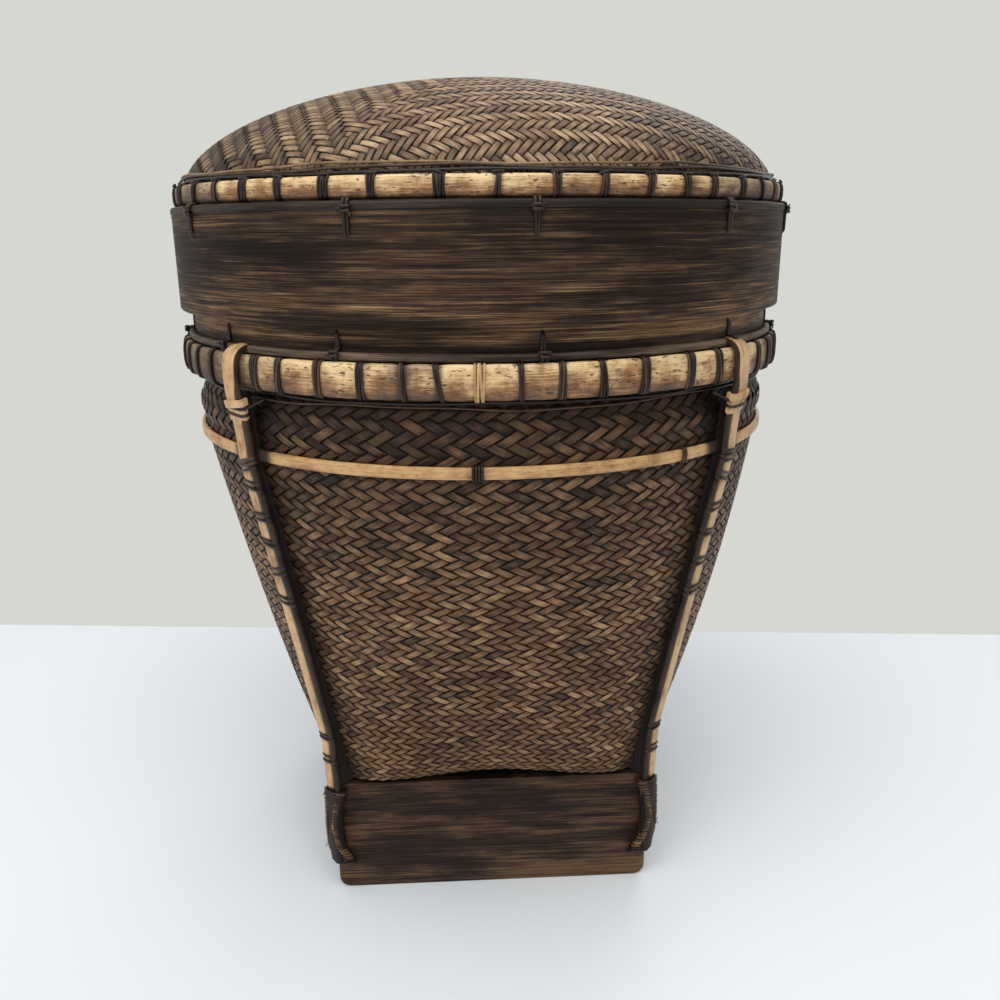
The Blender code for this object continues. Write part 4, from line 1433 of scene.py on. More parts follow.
@dataclass
class LashedHoop:
    """A half-round cane that dark strands bind through the wall to a hoop inside."""

    label: str
    body: str
    inner: float
    outer: float
    low: float
    high: float
    inside: Ring
    seen: tuple[float, ...]
    spacing: float
    stains: tuple[Stain, ...]
    guards: tuple[GuardCane, ...]
    seed: int
    skipped: tuple[float, ...] = ()
    pale: tuple[float, ...] = ()
    knots: bool = False
    strand: float = 0.00036
    dent: float = 0.045
    draw_in: float = 0.0008
    dent_reach: float = 1.15
    rib_reach: float = 3.4

    def lashed(self) -> np.ndarray:
        """Lists the lashings' angles: those that are seen, and even ones over the rest.

        Returns:
            The angles in degrees.
        """
        chance = np.random.default_rng(self.seed)
        gap = self.seen[0] + 360 - self.seen[-1]
        count = round(gap / self.spacing)
        rest = self.seen[-1] + gap * np.arange(1, count) / count + chance.normal(0, 0.35, count - 1)
        angles = np.concatenate([self.seen, rest])
        for skip in self.skipped:
            angles = angles[np.abs(degrees_away(angles, skip)) > self.rib_reach]
        return angles

    def nearness(self, turn: np.ndarray) -> np.ndarray:
        """Tells how near each angle is to a lashing, 1 at its middle."""
        away = np.abs(degrees_away(turn[:, None], self.lashed())).min(1)
        return np.exp(-((away / self.dent_reach) ** 2))

    def hoop(self) -> bpy.types.Object:
        """Builds the cane, drawn in at every lashing, with painted shade beside each one.

        Returns:
            The piece.
        """
        steps = 600
        turn = np.linspace(0, 360, steps, endpoint=False)
        near = self.nearness(turn)
        section = soft_section(self.inner, self.outer, self.low, self.high, 2.5, 24)
        middle = section.mean(0)
        wave = np.random.default_rng(self.seed).normal(0, 1, 24)
        sway = sum(w * np.sin(np.radians(turn) * (k + 5) + w) for k, w in enumerate(wave)) * 0.00002
        shrink = 1 - self.dent * near
        sections = middle + (section - middle) * shrink[:, None, None]
        sections[..., 0] += (sway - self.dent * near * self.draw_in)[:, None]
        height = (section[:, 1] - self.low) / (self.high - self.low)
        # Darker towards the section's lower edge.
        under = np.clip(0.28 - height, 0, 1)
        soot = np.zeros(steps)
        for stain in self.stains:
            soot += stain.amount * np.exp(-((degrees_away(turn, stain.angle) / stain.reach) ** 4))
        # Painted shade where each lashing pinches the cane, together with the stains and the darker lower
        # edge.
        grime = np.clip((0.7 * near**2 + soot)[:, None] + under[None], 0, 1)
        values = {"grime": grime, "shade": 0.75 - height}
        ring = round_grid(sections, steps)
        return skin(f"{self.label}_hoop_cane", ring, wrap_rows=True, values=values)

    def loops(self) -> list[Line]:
        """Draws the strands of every lashing round the hoop's section.

        Returns:
            The strands.
        """
        chance = np.random.default_rng(self.seed + 7)
        lines = []
        reach = self.strand * 0.8
        shrink = 1 - self.dent
        middle = ((self.inner + self.outer) / 2 - self.dent * self.draw_in, (self.low + self.high) / 2)
        half = ((self.outer - self.inner) / 2 * shrink, (self.high - self.low) / 2 * shrink)
        section = soft_section(
            middle[0] - half[0] - reach,
            middle[0] + half[0] + reach,
            middle[1] - half[1] - reach,
            middle[1] + half[1] + reach,
            2.5,
            14,
        )
        for angle in self.lashed():
            is_pale = any(abs(angle - other) < 0.5 for other in self.pale)
            count = 4 if is_pale else int(chance.choice([2, 3, 3, 3, 4]))
            lean = chance.normal(0, 0.35)
            for number in range(count):
                offset = (number - (count - 1) / 2) * self.strand * 2.02
                skew = (section[:, 1] - middle[1]) * (lean * 0.18 + chance.normal(0, 0.05))
                turn = math.radians(angle) + (offset + skew) / self.outer
                tone = chance.uniform(0.72, 0.95) if is_pale else chance.choice([0.06, 0.14, 0.24, 0.4])
                bulge = section - [0, middle[1]]
                bulge[:, 0] += self.strand * chance.uniform(0.0, 0.9) * (bulge[:, 0] > middle[0])
                points = round_points(bulge[:, 0], bulge[:, 1] + middle[1], turn)
                lines.append(Line(points, self.strand, float(tone), closed=True))
            if self.knots:
                lines += self.knot(angle, chance)
        return lines

    def knot(self, angle: float, chance: np.random.Generator) -> list[Line]:
        """Draws the short crossing strands on a lashing's upper edge.

        Args:
            angle: The lashing's angle in degrees.
            chance: What varies them.

        Returns:
            The strands.
        """
        lines = []
        share = np.linspace(-1, 1, 6)
        for number in range(2):
            lean = chance.normal(0, 0.0003)
            turn = math.radians(angle) + (share * (0.0012 + 0.0003 * number)) / self.outer
            radius = self.outer - 0.0005 + self.strand * (0.6 + number) * (1 - share**2)
            height = self.high + self.strand * (0.3 + 0.8 * number) + lean * share
            lines.append(Line(round_points(radius, height, turn), self.strand * 0.85, 0.12))
        return lines

    def guard_lines(self) -> list[Line]:
        """Draws the thin canes that lie along the hoop's edge and cross each other slowly.

        Returns:
            The canes.
        """
        turn = np.linspace(0, 2 * math.pi, 288, endpoint=False)
        lines = []
        pale_part = 0.5 + 0.5 * np.tanh(8 * np.cos(turn - math.radians(-125)) - 4)
        for cane in self.guards:
            slow, quick = turn * 7 + cane.phase, turn * 19 + cane.phase
            rise = cane.height + cane.sway * np.sin(slow) + 0.3 * cane.sway * np.sin(quick)
            out = cane.radius + cane.thick * 0.5 * np.cos(slow)
            tone = cane.tone + cane.paler * pale_part
            lines.append(Line(round_points(out, rise, turn), cane.thick, tone, closed=True))
        return lines

    def build(self) -> None:
        """Builds the hoop, the hoop inside, the lashings and the guard canes."""
        hand_over(self.hoop(), self.body, (f"{self.label}_hoop",), HOOP_CANE)
        ring = round_grid(soft_section(*self.inside, 3.0, 16), 192)
        inner = skin(f"{self.label}_inner_cane", ring, wrap_rows=True)
        hand_over(inner, self.body, (f"{self.label}_inner_hoop",), INNER_CANE)
        strands(f"{self.label}_lashing_strands", self.loops(), self.body, (f"{self.label}_lashing",))
        node = f"{self.label}_guard_cane"
        strands(f"{self.label}_guard_canes", self.guard_lines(), self.body, (node,), sides=8)


@dataclass
class Band:
    """A flat bamboo band with a thin strip along one edge and the ties that hold it."""

    label: str
    body: str
    inner: float
    outer: float
    low: float
    high: float
    strip: Ring
    ties: tuple[float, ...]
    stitch: float
    finish: Finish
    strip_finish: Finish
    seed: int
    tie_spacing: float = 30.0
    lip: float = 0.0

    def band(self) -> bpy.types.Object:
        """Builds the band with soft edges that are not quite straight.

        Returns:
            The piece.
        """
        steps = 288
        turn = np.linspace(0, 2 * math.pi, steps, endpoint=False)
        chance = np.random.default_rng(self.seed)
        wave = sum(
            chance.normal(0, 1) * np.sin(turn * k + chance.uniform(0, 6)) / k for k in range(3, 12)
        )
        edge = 0.0005
        face = np.linspace(self.low + edge, self.high - edge, 9)
        corner = self.outer - edge * 0.7
        outer = [(corner, self.low), *[(self.outer, z) for z in face], (corner, self.high)]
        step = self.inner + (self.outer - self.inner) * 0.3
        inner = [(step, self.high), (step, self.high + self.lip), (self.inner, self.high + self.lip)]
        inner += [(self.inner, (self.low + self.high) / 2), (self.inner, self.low)]
        section = np.array(outer + (inner if self.lip else inner[2:]))
        sections = np.broadcast_to(section, (steps, *section.shape)).copy()
        share = (section[:, 1] - self.low) / (self.high - self.low)
        sections[..., 1] += wave[:, None] * 0.00016 * (1 - share)[None]
        return skin(f"{self.label}_band_bamboo", round_grid(sections, steps), wrap_rows=True)

    def tie_angles(self) -> np.ndarray:
        """Lists the ties' angles: those that are seen, and even ones over the rest.

        Returns:
            The angles in degrees.
        """
        gap = self.ties[0] + 360 - self.ties[-1]
        count = round(gap / self.tie_spacing)
        rest = self.ties[-1] + gap * np.arange(1, count) / count
        return np.concatenate([self.ties, rest])

    def tie_lines(self) -> list[Line]:
        """Draws each tie: a loop round the strip, a stitch on the band and a knot with two ends.

        Returns:
            The strands.
        """
        chance = np.random.default_rng(self.seed + 3)
        lines = []
        inner, outer, low, high = self.strip
        middle = (low + high) / 2
        thick = 0.0005
        grow = thick * 0.7
        down = -1 if self.stitch < 0 else 1
        edge = low if down < 0 else high
        loop = soft_section(inner - 0.0001, outer + grow, low - grow, high + grow, 2.6, 12)
        for angle in self.tie_angles():
            turn = math.radians(angle)
            for offset in (-0.0006, 0.0005):
                points = round_points(loop[:, 0], loop[:, 1], turn + offset / outer)
                lines.append(Line(points, thick, 0.12, closed=True))
            face = self.outer + thick * 0.75
            end = edge + self.stitch
            away = np.linspace(0, 1, 9)
            height = middle + (end - middle) * away
            course = [outer + thick, outer + thick, face, face, self.outer - 0.0003]
            radius = np.interp(away, [0, 0.1, 0.25, 0.93, 1], course)
            for offset in (-0.0005, 0.0005):
                sway = turn + (offset * (1 - 0.4 * away) + chance.normal(0, 0.0002) * away) / outer
                short = height - down * 0.0006 * away * (offset > 0)
                lines.append(Line(round_points(radius, short, sway), thick * (1.1 - 0.3 * away), 0.07))
            knot_height = middle + down * 0.0008
            for lift in (-0.0005, 0.0006):
                t = np.linspace(0, 2 * math.pi, 10, endpoint=False)
                reach = outer + thick * (1.6 + 0.9 * np.sin(t))
                points = round_points(reach, knot_height + lift, turn + np.cos(t) * 0.0013 / outer)
                lines.append(Line(points, thick * 0.9, 0.18, closed=True))
            for side in (-1, 1):
                t = np.linspace(0, 1, 6)
                length = chance.uniform(0.0004, 0.0016)
                rise = chance.normal(0.0004, 0.0009)
                tip = turn + side * (0.0008 + length * t) / outer
                out = outer + thick * 1.6 + 0.0006 * t**2
                lines.append(Line(round_points(out, knot_height + rise * t, tip), thick * (1 - 0.6 * t), 0.2))
        return lines

    def build(self) -> None:
        """Builds the band, its strip and its ties."""
        hand_over(self.band(), self.body, (f"{self.label}_band",), self.finish)
        ring = round_grid(soft_section(*self.strip, 2.6, 14), 288)
        strip = skin(f"{self.label}_edge_cane", ring, wrap_rows=True)
        hand_over(strip, self.body, (f"{self.label}_edge_strip",), self.strip_finish)
        strands(f"{self.label}_ties", self.tie_lines(), self.body, nodes_named(f"{self.label}_tie"))


@dataclass
class WaistHoop:
    """The pale flat hoop round the waist, with the small laps that tie it to the wall."""

    inner: float = 0.0958
    outer: float = 0.0972
    low: float = 0.1605
    high: float = 0.1639
    ties: tuple[float, ...] = (-92.7, -56.1, -2.0, 34.0, 88.0, 124.0, 178.0)

    def hoop(self) -> bpy.types.Object:
        """Builds the hoop.

        Returns:
            The piece.
        """
        steps = 288
        turn = np.linspace(0, 360, steps, endpoint=False)
        ribs = np.array([corner.value for corner in Corner])
        to_tie = np.abs(degrees_away(turn[:, None], np.array(self.ties))).min(1)
        to_rib = np.abs(degrees_away(turn[:, None], ribs)).min(1)
        # Darker beside each tie, and a painted shadow where the hoop passes behind the corner ribs.
        grime = 0.6 * np.exp(-((to_tie / 1.6) ** 2)) + 1.2 * np.exp(-((to_rib / 5.4) ** 6))
        section = soft_section(self.inner, self.outer, self.low, self.high, 3.2, 16)
        ring = round_grid(section, steps)
        return skin("waist_hoop_cane", ring, wrap_rows=True, values={"grime": grime[:, None]})

    def laps(self) -> list[Line]:
        """Draws the strands round the hoop.

        Returns:
            The strands.
        """
        thick = 0.0004
        grow = thick * 0.8
        loop = soft_section(self.inner, self.outer + grow, self.low - grow, self.high + grow, 3.0, 12)
        lines = []
        for number, angle in enumerate(self.ties):
            turns, tone = (2, 0.34) if number % 2 else (4, 0.14)
            for offset in (np.arange(turns) - (turns - 1) / 2) * 2 * thick:
                turn = math.radians(angle) + offset / self.outer
                points = round_points(loop[:, 0], loop[:, 1], turn)
                lines.append(Line(points, thick, tone, closed=True))
        return lines

    def build(self) -> None:
        """Builds the hoop and its laps."""
        hand_over(self.hoop(), "basket", ("waist_hoop",), WAIST_CANE)
        strands("waist_ties", self.laps(), "basket", nodes_named("waist_tie"))


@dataclass
class Rib:
    """The pair of split canes that runs up one corner and hooks over the rim."""

    corner: Corner
    width: float = 0.0033
    thickness: float = 0.0016
    spacing: float = 0.0004
    foot_taper: float = 0.86
    foot_reach: float = 0.07605
    foot_top: float = 0.0415
    start: float = 0.0128
    standoff: float = 0.0025
    pale_share: tuple[float, float] = (0.62, 0.88)
    head: tuple[tuple[float, float], ...] = (
        (0.0983, 0.1605),
        (0.0983, 0.1639),
        (0.099, 0.1713),
        (0.1011, 0.1818),
        (0.1011, 0.1896),
        (0.1003, 0.1912),
        (0.0987, 0.1923),
        (0.0965, 0.1923),
    )
    turns: tuple[float, ...] = (0.1757, 0.1597, 0.1528, 0.1434, 0.1344, 0.1248, 0.1148, 0.062, 0.053)
    strand: float = 0.00044
    pitch: float = 0.00082
    layer_depths: tuple[float, ...] = (0.0007, 0.0023, 0.0036, 0.0052)
    layer_tops: tuple[float, ...] = (0.1795, 0.1795, 0.062, 0.05)

    @property
    def label(self) -> str:
        """The corner's name as the CAD nodes write it."""
        return self.corner.name.lower()

    @property
    def turn(self) -> float:
        """The corner's angle in radians."""
        return math.radians(self.corner.value)

    def course(self) -> np.ndarray:
        """Lists radius and height up the rib's inner face.

        Returns:
            The points.
        """
        points = [(self.foot_reach, self.start), (self.foot_reach, self.foot_top)]
        for share in (0.16, 0.33, 0.56, 0.8):
            reach = Body.corner + (Body.waist - Body.corner) * share + self.standoff
            height = Body.low + (Body.waist_height - Body.low) * share
            points.append((max(self.foot_reach, reach), height))
        coarse = np.array(points + list(self.head))
        walked = np.concatenate([[0], np.cumsum(np.hypot(*np.diff(coarse, axis=0).T))])
        fine = np.unique(np.concatenate([np.linspace(0, walked[-1], 90), walked]))
        line = np.stack([np.interp(fine, walked, coarse[:, k]) for k in (0, 1)], -1)
        for _ in range(3):
            line[1:-1] = (line[:-2] + 2 * line[1:-1] + line[2:]) / 4
        return line

    @property
    def axes(self) -> tuple[np.ndarray, np.ndarray]:
        """The level directions out from the basket's axis and across the rib."""
        radial = np.array([math.cos(self.turn), math.sin(self.turn), 0])
        return radial, np.array([-math.sin(self.turn), math.cos(self.turn), 0])

    def size_at(self, height: np.ndarray | float) -> np.ndarray:
        """Gives the share of their full width that the canes have."""
        share = np.clip((height - self.foot_top) / 0.06, 0, 1)
        return self.foot_taper + (1 - self.foot_taper) * share

    def frame_at(self, line: np.ndarray) -> tuple[np.ndarray, np.ndarray]:
        """Finds the outward direction along the course.

        Args:
            line: Radius and height of the course.

        Returns:
            The direction of travel and the outward one, in radius and height.
        """
        travel = np.gradient(line, axis=0)
        travel /= np.linalg.norm(travel, axis=1, keepdims=True)
        return travel, np.stack([travel[:, 1], -travel[:, 0]], -1)

    def cane(self, side: int, is_pale: bool) -> bpy.types.Object:
        """Builds one of the two canes. The pale one is wider, most of all at the head.

        Args:
            side: -1 for the left one and 1 for the right one, seen from outside.
            is_pale: Whether it is the pale one.

        Returns:
            The piece.
        """
        line = self.course()
        _, outward = self.frame_at(line)
        shape = soft_section(0.0, self.thickness, -self.width / 2, self.width / 2, 2.4, 12)
        bound = np.abs(line[:, 1][:, None] - np.array(self.turns)[None]).min(1)
        pinch = 1 - 0.14 * np.exp(-((bound / 0.0012) ** 2))
        size = self.size_at(line[:, 1])
        reach = self.width + self.spacing / 2
        split = reach * (1 - 2 * np.interp(line[:, 1], [0.1797, 0.184], self.pale_share))
        far, near = (reach, split + self.spacing / 2) if is_pale else (-reach, split - self.spacing / 2)
        middle = (side if is_pale else -side) * (far + near) / 2 * size
        size = size * pinch * np.abs(far - near) / self.width
        radial, level = self.axes
        grid = np.zeros((len(line), len(shape), 3))
        for k, (depth, across) in enumerate(shape):
            spot = line + outward * (depth * pinch)[:, None]
            offset = middle + across * size
            grid[:, k] = spot[:, :1] * radial + offset[:, None] * level
            grid[:, k, 2] = spot[:, 1]
        # Painted shade next to each binding and where the cane runs down into the lacing.
        below = np.clip((0.0425 - line[:, 1]) / 0.002, 0, 1) * 1.4
        grime = (np.exp(-((bound / 0.0016) ** 2)) * 0.8 + below)[:, None]
        name = f"rib_cane_{self.label}_{'left' if side < 0 else 'right'}"
        return skin(name, grid, values={"grime": grime})

    def ring(self, height: float, lift: float, grow: float, snug: float = 1.0) -> np.ndarray:
        """Draws a loop round both canes.

        Args:
            height: Where it is.
            lift: How far its right side is above its left.
            grow: How far it stands off the canes.
            snug: The share of their full size that the canes are drawn in to.

        Returns:
            The loop's points.
        """
        line = self.course()
        travel, outward = self.frame_at(line)
        index = int(np.argmin(np.abs(line[:, 1] - height)))
        half = (self.width + self.spacing / 2) * float(self.size_at(height)) * snug
        shape = soft_section(-grow, self.thickness * snug + grow, -half - grow, half + grow, 3.0, 14)
        radial, level = self.axes
        points = []
        for depth, across in shape:
            spot = line[index] + outward[index] * depth + travel[index] * lift * across / half
            points.append(spot[0] * radial + across * level + np.array([0, 0, spot[1]]))
        return np.array(points)

    def bindings(self) -> list[Line]:
        """Draws the dark strands that bind the canes.

        Returns:
            The strands.
        """
        chance = np.random.default_rng(self.corner.value + 200)
        lines = []
        for height in self.turns:
            lean = chance.normal(0.0, 0.0003)
            snug, grow = (0.9, 0.0) if height < 0.17 else (1.0, 0.0004)
            for offset in (-self.pitch, 0.0, self.pitch):
                tone = float(chance.choice([0.08, 0.18, 0.3]))
                path = self.ring(height + offset, lean, grow + (0.0001 if offset else 0.0002), snug)
                lines.append(Line(path, self.strand, tone, closed=True))
        return lines

    def shade_packing(self) -> list[Line]:
        """Draws black strands that fill the way between the canes and the woven corner and stand there as a
        painted shadow.

        Returns:
            The strands.
        """
        line = self.course()
        _, outward = self.frame_at(line)
        radial, level = self.axes
        lines = []
        for depth, top in zip(self.layer_depths, self.layer_tops):
            kept = (line[:, 1] > self.foot_top - 0.0003) & (line[:, 1] < top)
            for across in (-0.0016, 0.0, 0.0016):
                spot = line[kept] - outward[kept] * depth
                points = spot[:, :1] * radial + across * level
                points[:, 2] += spot[:, 1]
                # Black strands as a painted shadow between the canes and the woven corner.
                lines.append(Line(points, 0.00105, 0.0))
        return lines

    def wrap(self) -> bpy.types.Object:
        """Builds the flat pale strip round the rib's head.

        Returns:
            The piece.
        """
        edges = [(0.1722, -0.0003), (0.1728, 0.0002), (0.174, 0.0004), (0.1764, 0.0005), (0.1768, 0.001)]
        edges += [(0.1787, 0.001), (0.1792, 0.0002)]
        grid = np.array([self.ring(height, 0.0004, grow) for height, grow in edges])
        return skin(f"rib_wrap_{self.label}", grid)

    def threads(self) -> list[Line]:
        """Draws the end that runs in under the rim, and the one that stands off the front left rib.

        Returns:
            The threads.
        """
        line = self.course()
        radial, level = self.axes
        inward = 1 if self.corner in (Corner.FRONT_LEFT, Corner.BACK_RIGHT) else -1
        share = np.linspace(0, 1, 9)
        runs = [(0.1757 + 0.0036 * share, 0.0012 - 0.0034 * share, inward * (0.003 + 0.007 * share), 0.0004)]
        if self.corner is Corner.FRONT_LEFT:
            bow = -0.0034 - 0.0046 * np.sin(math.pi * share)
            runs.append((0.1 - 0.0265 * share, 0.0008, bow, 0.00018))
        lines = []
        for height, depth, across, thick in runs:
            points = (np.interp(height, line[:, 1], line[:, 0]) + depth)[:, None] * radial
            points = points + across[:, None] * level
            points[:, 2] = height
            lines.append(Line(points, thick, 0.08))
        return lines

    def build(self) -> None:
        """Builds the canes, their bindings and the wrap at the head."""
        pale_side = 1 if self.corner in (Corner.FRONT_RIGHT, Corner.BACK_LEFT) else -1
        for side in (-1, 1):
            is_pale = side == pale_side
            node = f"rib_{self.label}_{self.node_side(side)}"
            slot, finish = ("pale_cane", PALE_RIB) if is_pale else ("brown_cane", DARK_RIB)
            hand_over(self.cane(side, is_pale), "basket", (node,), finish)
        lines = self.bindings() + self.shade_packing() + self.threads()
        strands(f"rib_binding_{self.label}", lines, "basket", (f"rib_lashing_{self.label}",))
        hand_over(self.wrap(), "basket", (f"rib_head_wrap_{self.label}",), PALE_RIB)

    def node_side(self, side: int) -> str:
        """Finds which of the two CAD canes stands on a side.

        Args:
            side: -1 for the left one and 1 for the right one, seen from outside.

        Returns:
            The end of the CAD node's name.
        """
        _, level = self.axes
        middles = {}
        for name in ("left", "right"):
            low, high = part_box(f"rib_{self.label}_{name}")
            middles[name] = sum((low[k] + high[k]) / 2 * level[k] for k in (0, 1))
        return max(middles, key=lambda name: side * middles[name])


@dataclass
class Foot:
    """The square foot of four boards, laced at its corners with fine dark strands."""

    half: float = 0.053
    proud: float = 0.0013
    thick: float = 0.003
    top: float = 0.0415
    round: float = 0.004
    low: float = 0.0135
    high: float = 0.0408
    strand: float = 0.0005
    cross_strand: float = 0.00045
    hair: float = 0.00012
    loops: int = 30

    def board(self, side: Side) -> bpy.types.Object:
        """Builds one board: mitred ends, rounded lower corners and softened edges.

        Args:
            side: The side of the basket that it stands on.

        Returns:
            The piece.
        """
        turn = np.linspace(-math.pi / 2, 0, 7)
        proud = self.proud if side in (Side.FRONT, Side.BACK) else -self.proud
        reach = self.half + proud
        across = reach - self.round + self.round * np.cos(turn)
        height = self.round + self.round * np.sin(turn)
        right = np.stack([np.append(across, reach), np.append(height, self.top)], -1)
        outline = np.concatenate([right, right[::-1] * [-1, 1]])
        middle = np.array([0, self.top / 2])
        grid = []
        mitre = self.thick + min(proud, 0) * 2 + max(proud, 0)
        for depth, inset in ((0.0, 0.0005), (0.0004, 0.0), (self.thick - 0.0003, mitre), (self.thick, mitre)):
            size = 1 - np.array([inset / reach, 0 if depth else 0.0005 / middle[1]])
            flat = middle + (outline - middle) * size
            grid.append(np.column_stack([flat[:, 0], np.full(len(flat), depth - self.half), flat[:, 1]]))
        grid = np.array(grid)
        spin = math.radians(side.value + 90)
        x, y = grid[..., 0].copy(), grid[..., 1].copy()
        grid[..., 0] = x * math.cos(spin) - y * math.sin(spin)
        grid[..., 1] = x * math.sin(spin) + y * math.cos(spin)
        return skin(f"foot_board_bamboo_{side.name.lower()}", grid)

    def plan(self, share: float) -> np.ndarray:
        """Draws one loop round a corner, in the quarter where both sides are positive.

        Args:
            share: How far down the lacing it is, from 0 to 1.

        Returns:
            The loop's points in plan.
        """
        start = float(np.interp(share, [0, 0.15, 0.5, 0.8, 1], [0.0502, 0.0515, 0.0529, 0.0515, 0.0484]))
        bulge = float(np.interp(share, [0, 0.45, 0.75, 1], [0, 0.0003, 0.0, -0.0008]))
        near = [(start, 0.0537), (start + 0.0008, 0.0553 + bulge), ((start + 0.054) / 2, 0.0566 + bulge)]
        near.append((0.0542, 0.0568 + bulge))
        far = [(y, x) for x, y in near[::-1]]
        return np.array([*near, (0.0556 + bulge / 2, 0.0556 + bulge / 2), *far, (0.0497, 0.0497)])

    def lacing(self, corner: Corner) -> list[Line]:
        """Draws the loops at one corner.

        Args:
            corner: The corner.

        Returns:
            The strands.
        """
        chance = np.random.default_rng(corner.value + 500)
        turn = math.radians(corner.value)
        sides = np.sign([math.cos(turn), math.sin(turn)])
        lines = []
        for share in np.linspace(0, 1, self.loops):
            plan = self.plan(share) * sides
            tone = float(chance.choice([0.06, 0.14, 0.26]))
            sag = np.abs(np.linspace(-1, 1, len(plan))) * (0.0006 + 0.0022 * share**4)
            height = self.high + (self.low - self.high) * share - sag[::-1] + chance.normal(0, 0.00008)
            lines.append(Line(np.column_stack([plan, height]), self.strand, tone, closed=True))
        return lines + self.braid(sides, chance)

    def braid(self, sides: np.ndarray, chance: np.random.Generator) -> list[Line]:
        """Draws the brown crossing strands down the corner's edge, and a few loose hairs.

        Args:
            sides: The signs of the corner's quarter.
            chance: What varies them.

        Returns:
            The strands.
        """
        lines = []
        for height in np.arange(self.low + 0.001, self.high, 0.0011):
            start = self.plan((self.high - height) / (self.high - self.low))[0, 0]
            for side in (0, 1):
                plan = np.array([(start + 0.0003, 0.055), (start + 0.0011, 0.0566), (start + 0.0023, 0.0574)])
                plan = (plan if side else plan[:, ::-1]) * sides
                rise = np.array([-0.0008, 0.0001, 0.0008]) + chance.normal(0, 0.0001)
                tone = float(chance.choice([0.4, 0.5, 0.6]))
                lines.append(Line(np.column_stack([plan, height + rise]), self.cross_strand, tone))
        for _ in range(6):
            height = chance.uniform(self.low, self.high)
            out = chance.uniform(0.0004, 0.0012)
            plan = np.array([(0.0535, 0.0567), (0.054 + out / 2, 0.0572 + out / 2), (0.0545, 0.0573 + out)])
            plan = (plan if chance.random() < 0.5 else plan[:, ::-1]) * sides
            rise = np.array([0, chance.normal(0, 0.0004), chance.normal(0, 0.0014)])
            lines.append(Line(np.column_stack([plan, height + rise]), self.hair, 0.05))
        return lines

    def build(self) -> None:
        """Builds the boards and the lacing."""
        for side in Side:
            node = f"foot_board_{side.name.lower()}"
            hand_over(self.board(side), "basket", (node,), BOARD_BAMBOO)
        for corner in Corner:
            label = corner.name.lower()
            strands(f"foot_strands_{label}", self.lacing(corner), "basket", (f"foot_lacing_{label}",))


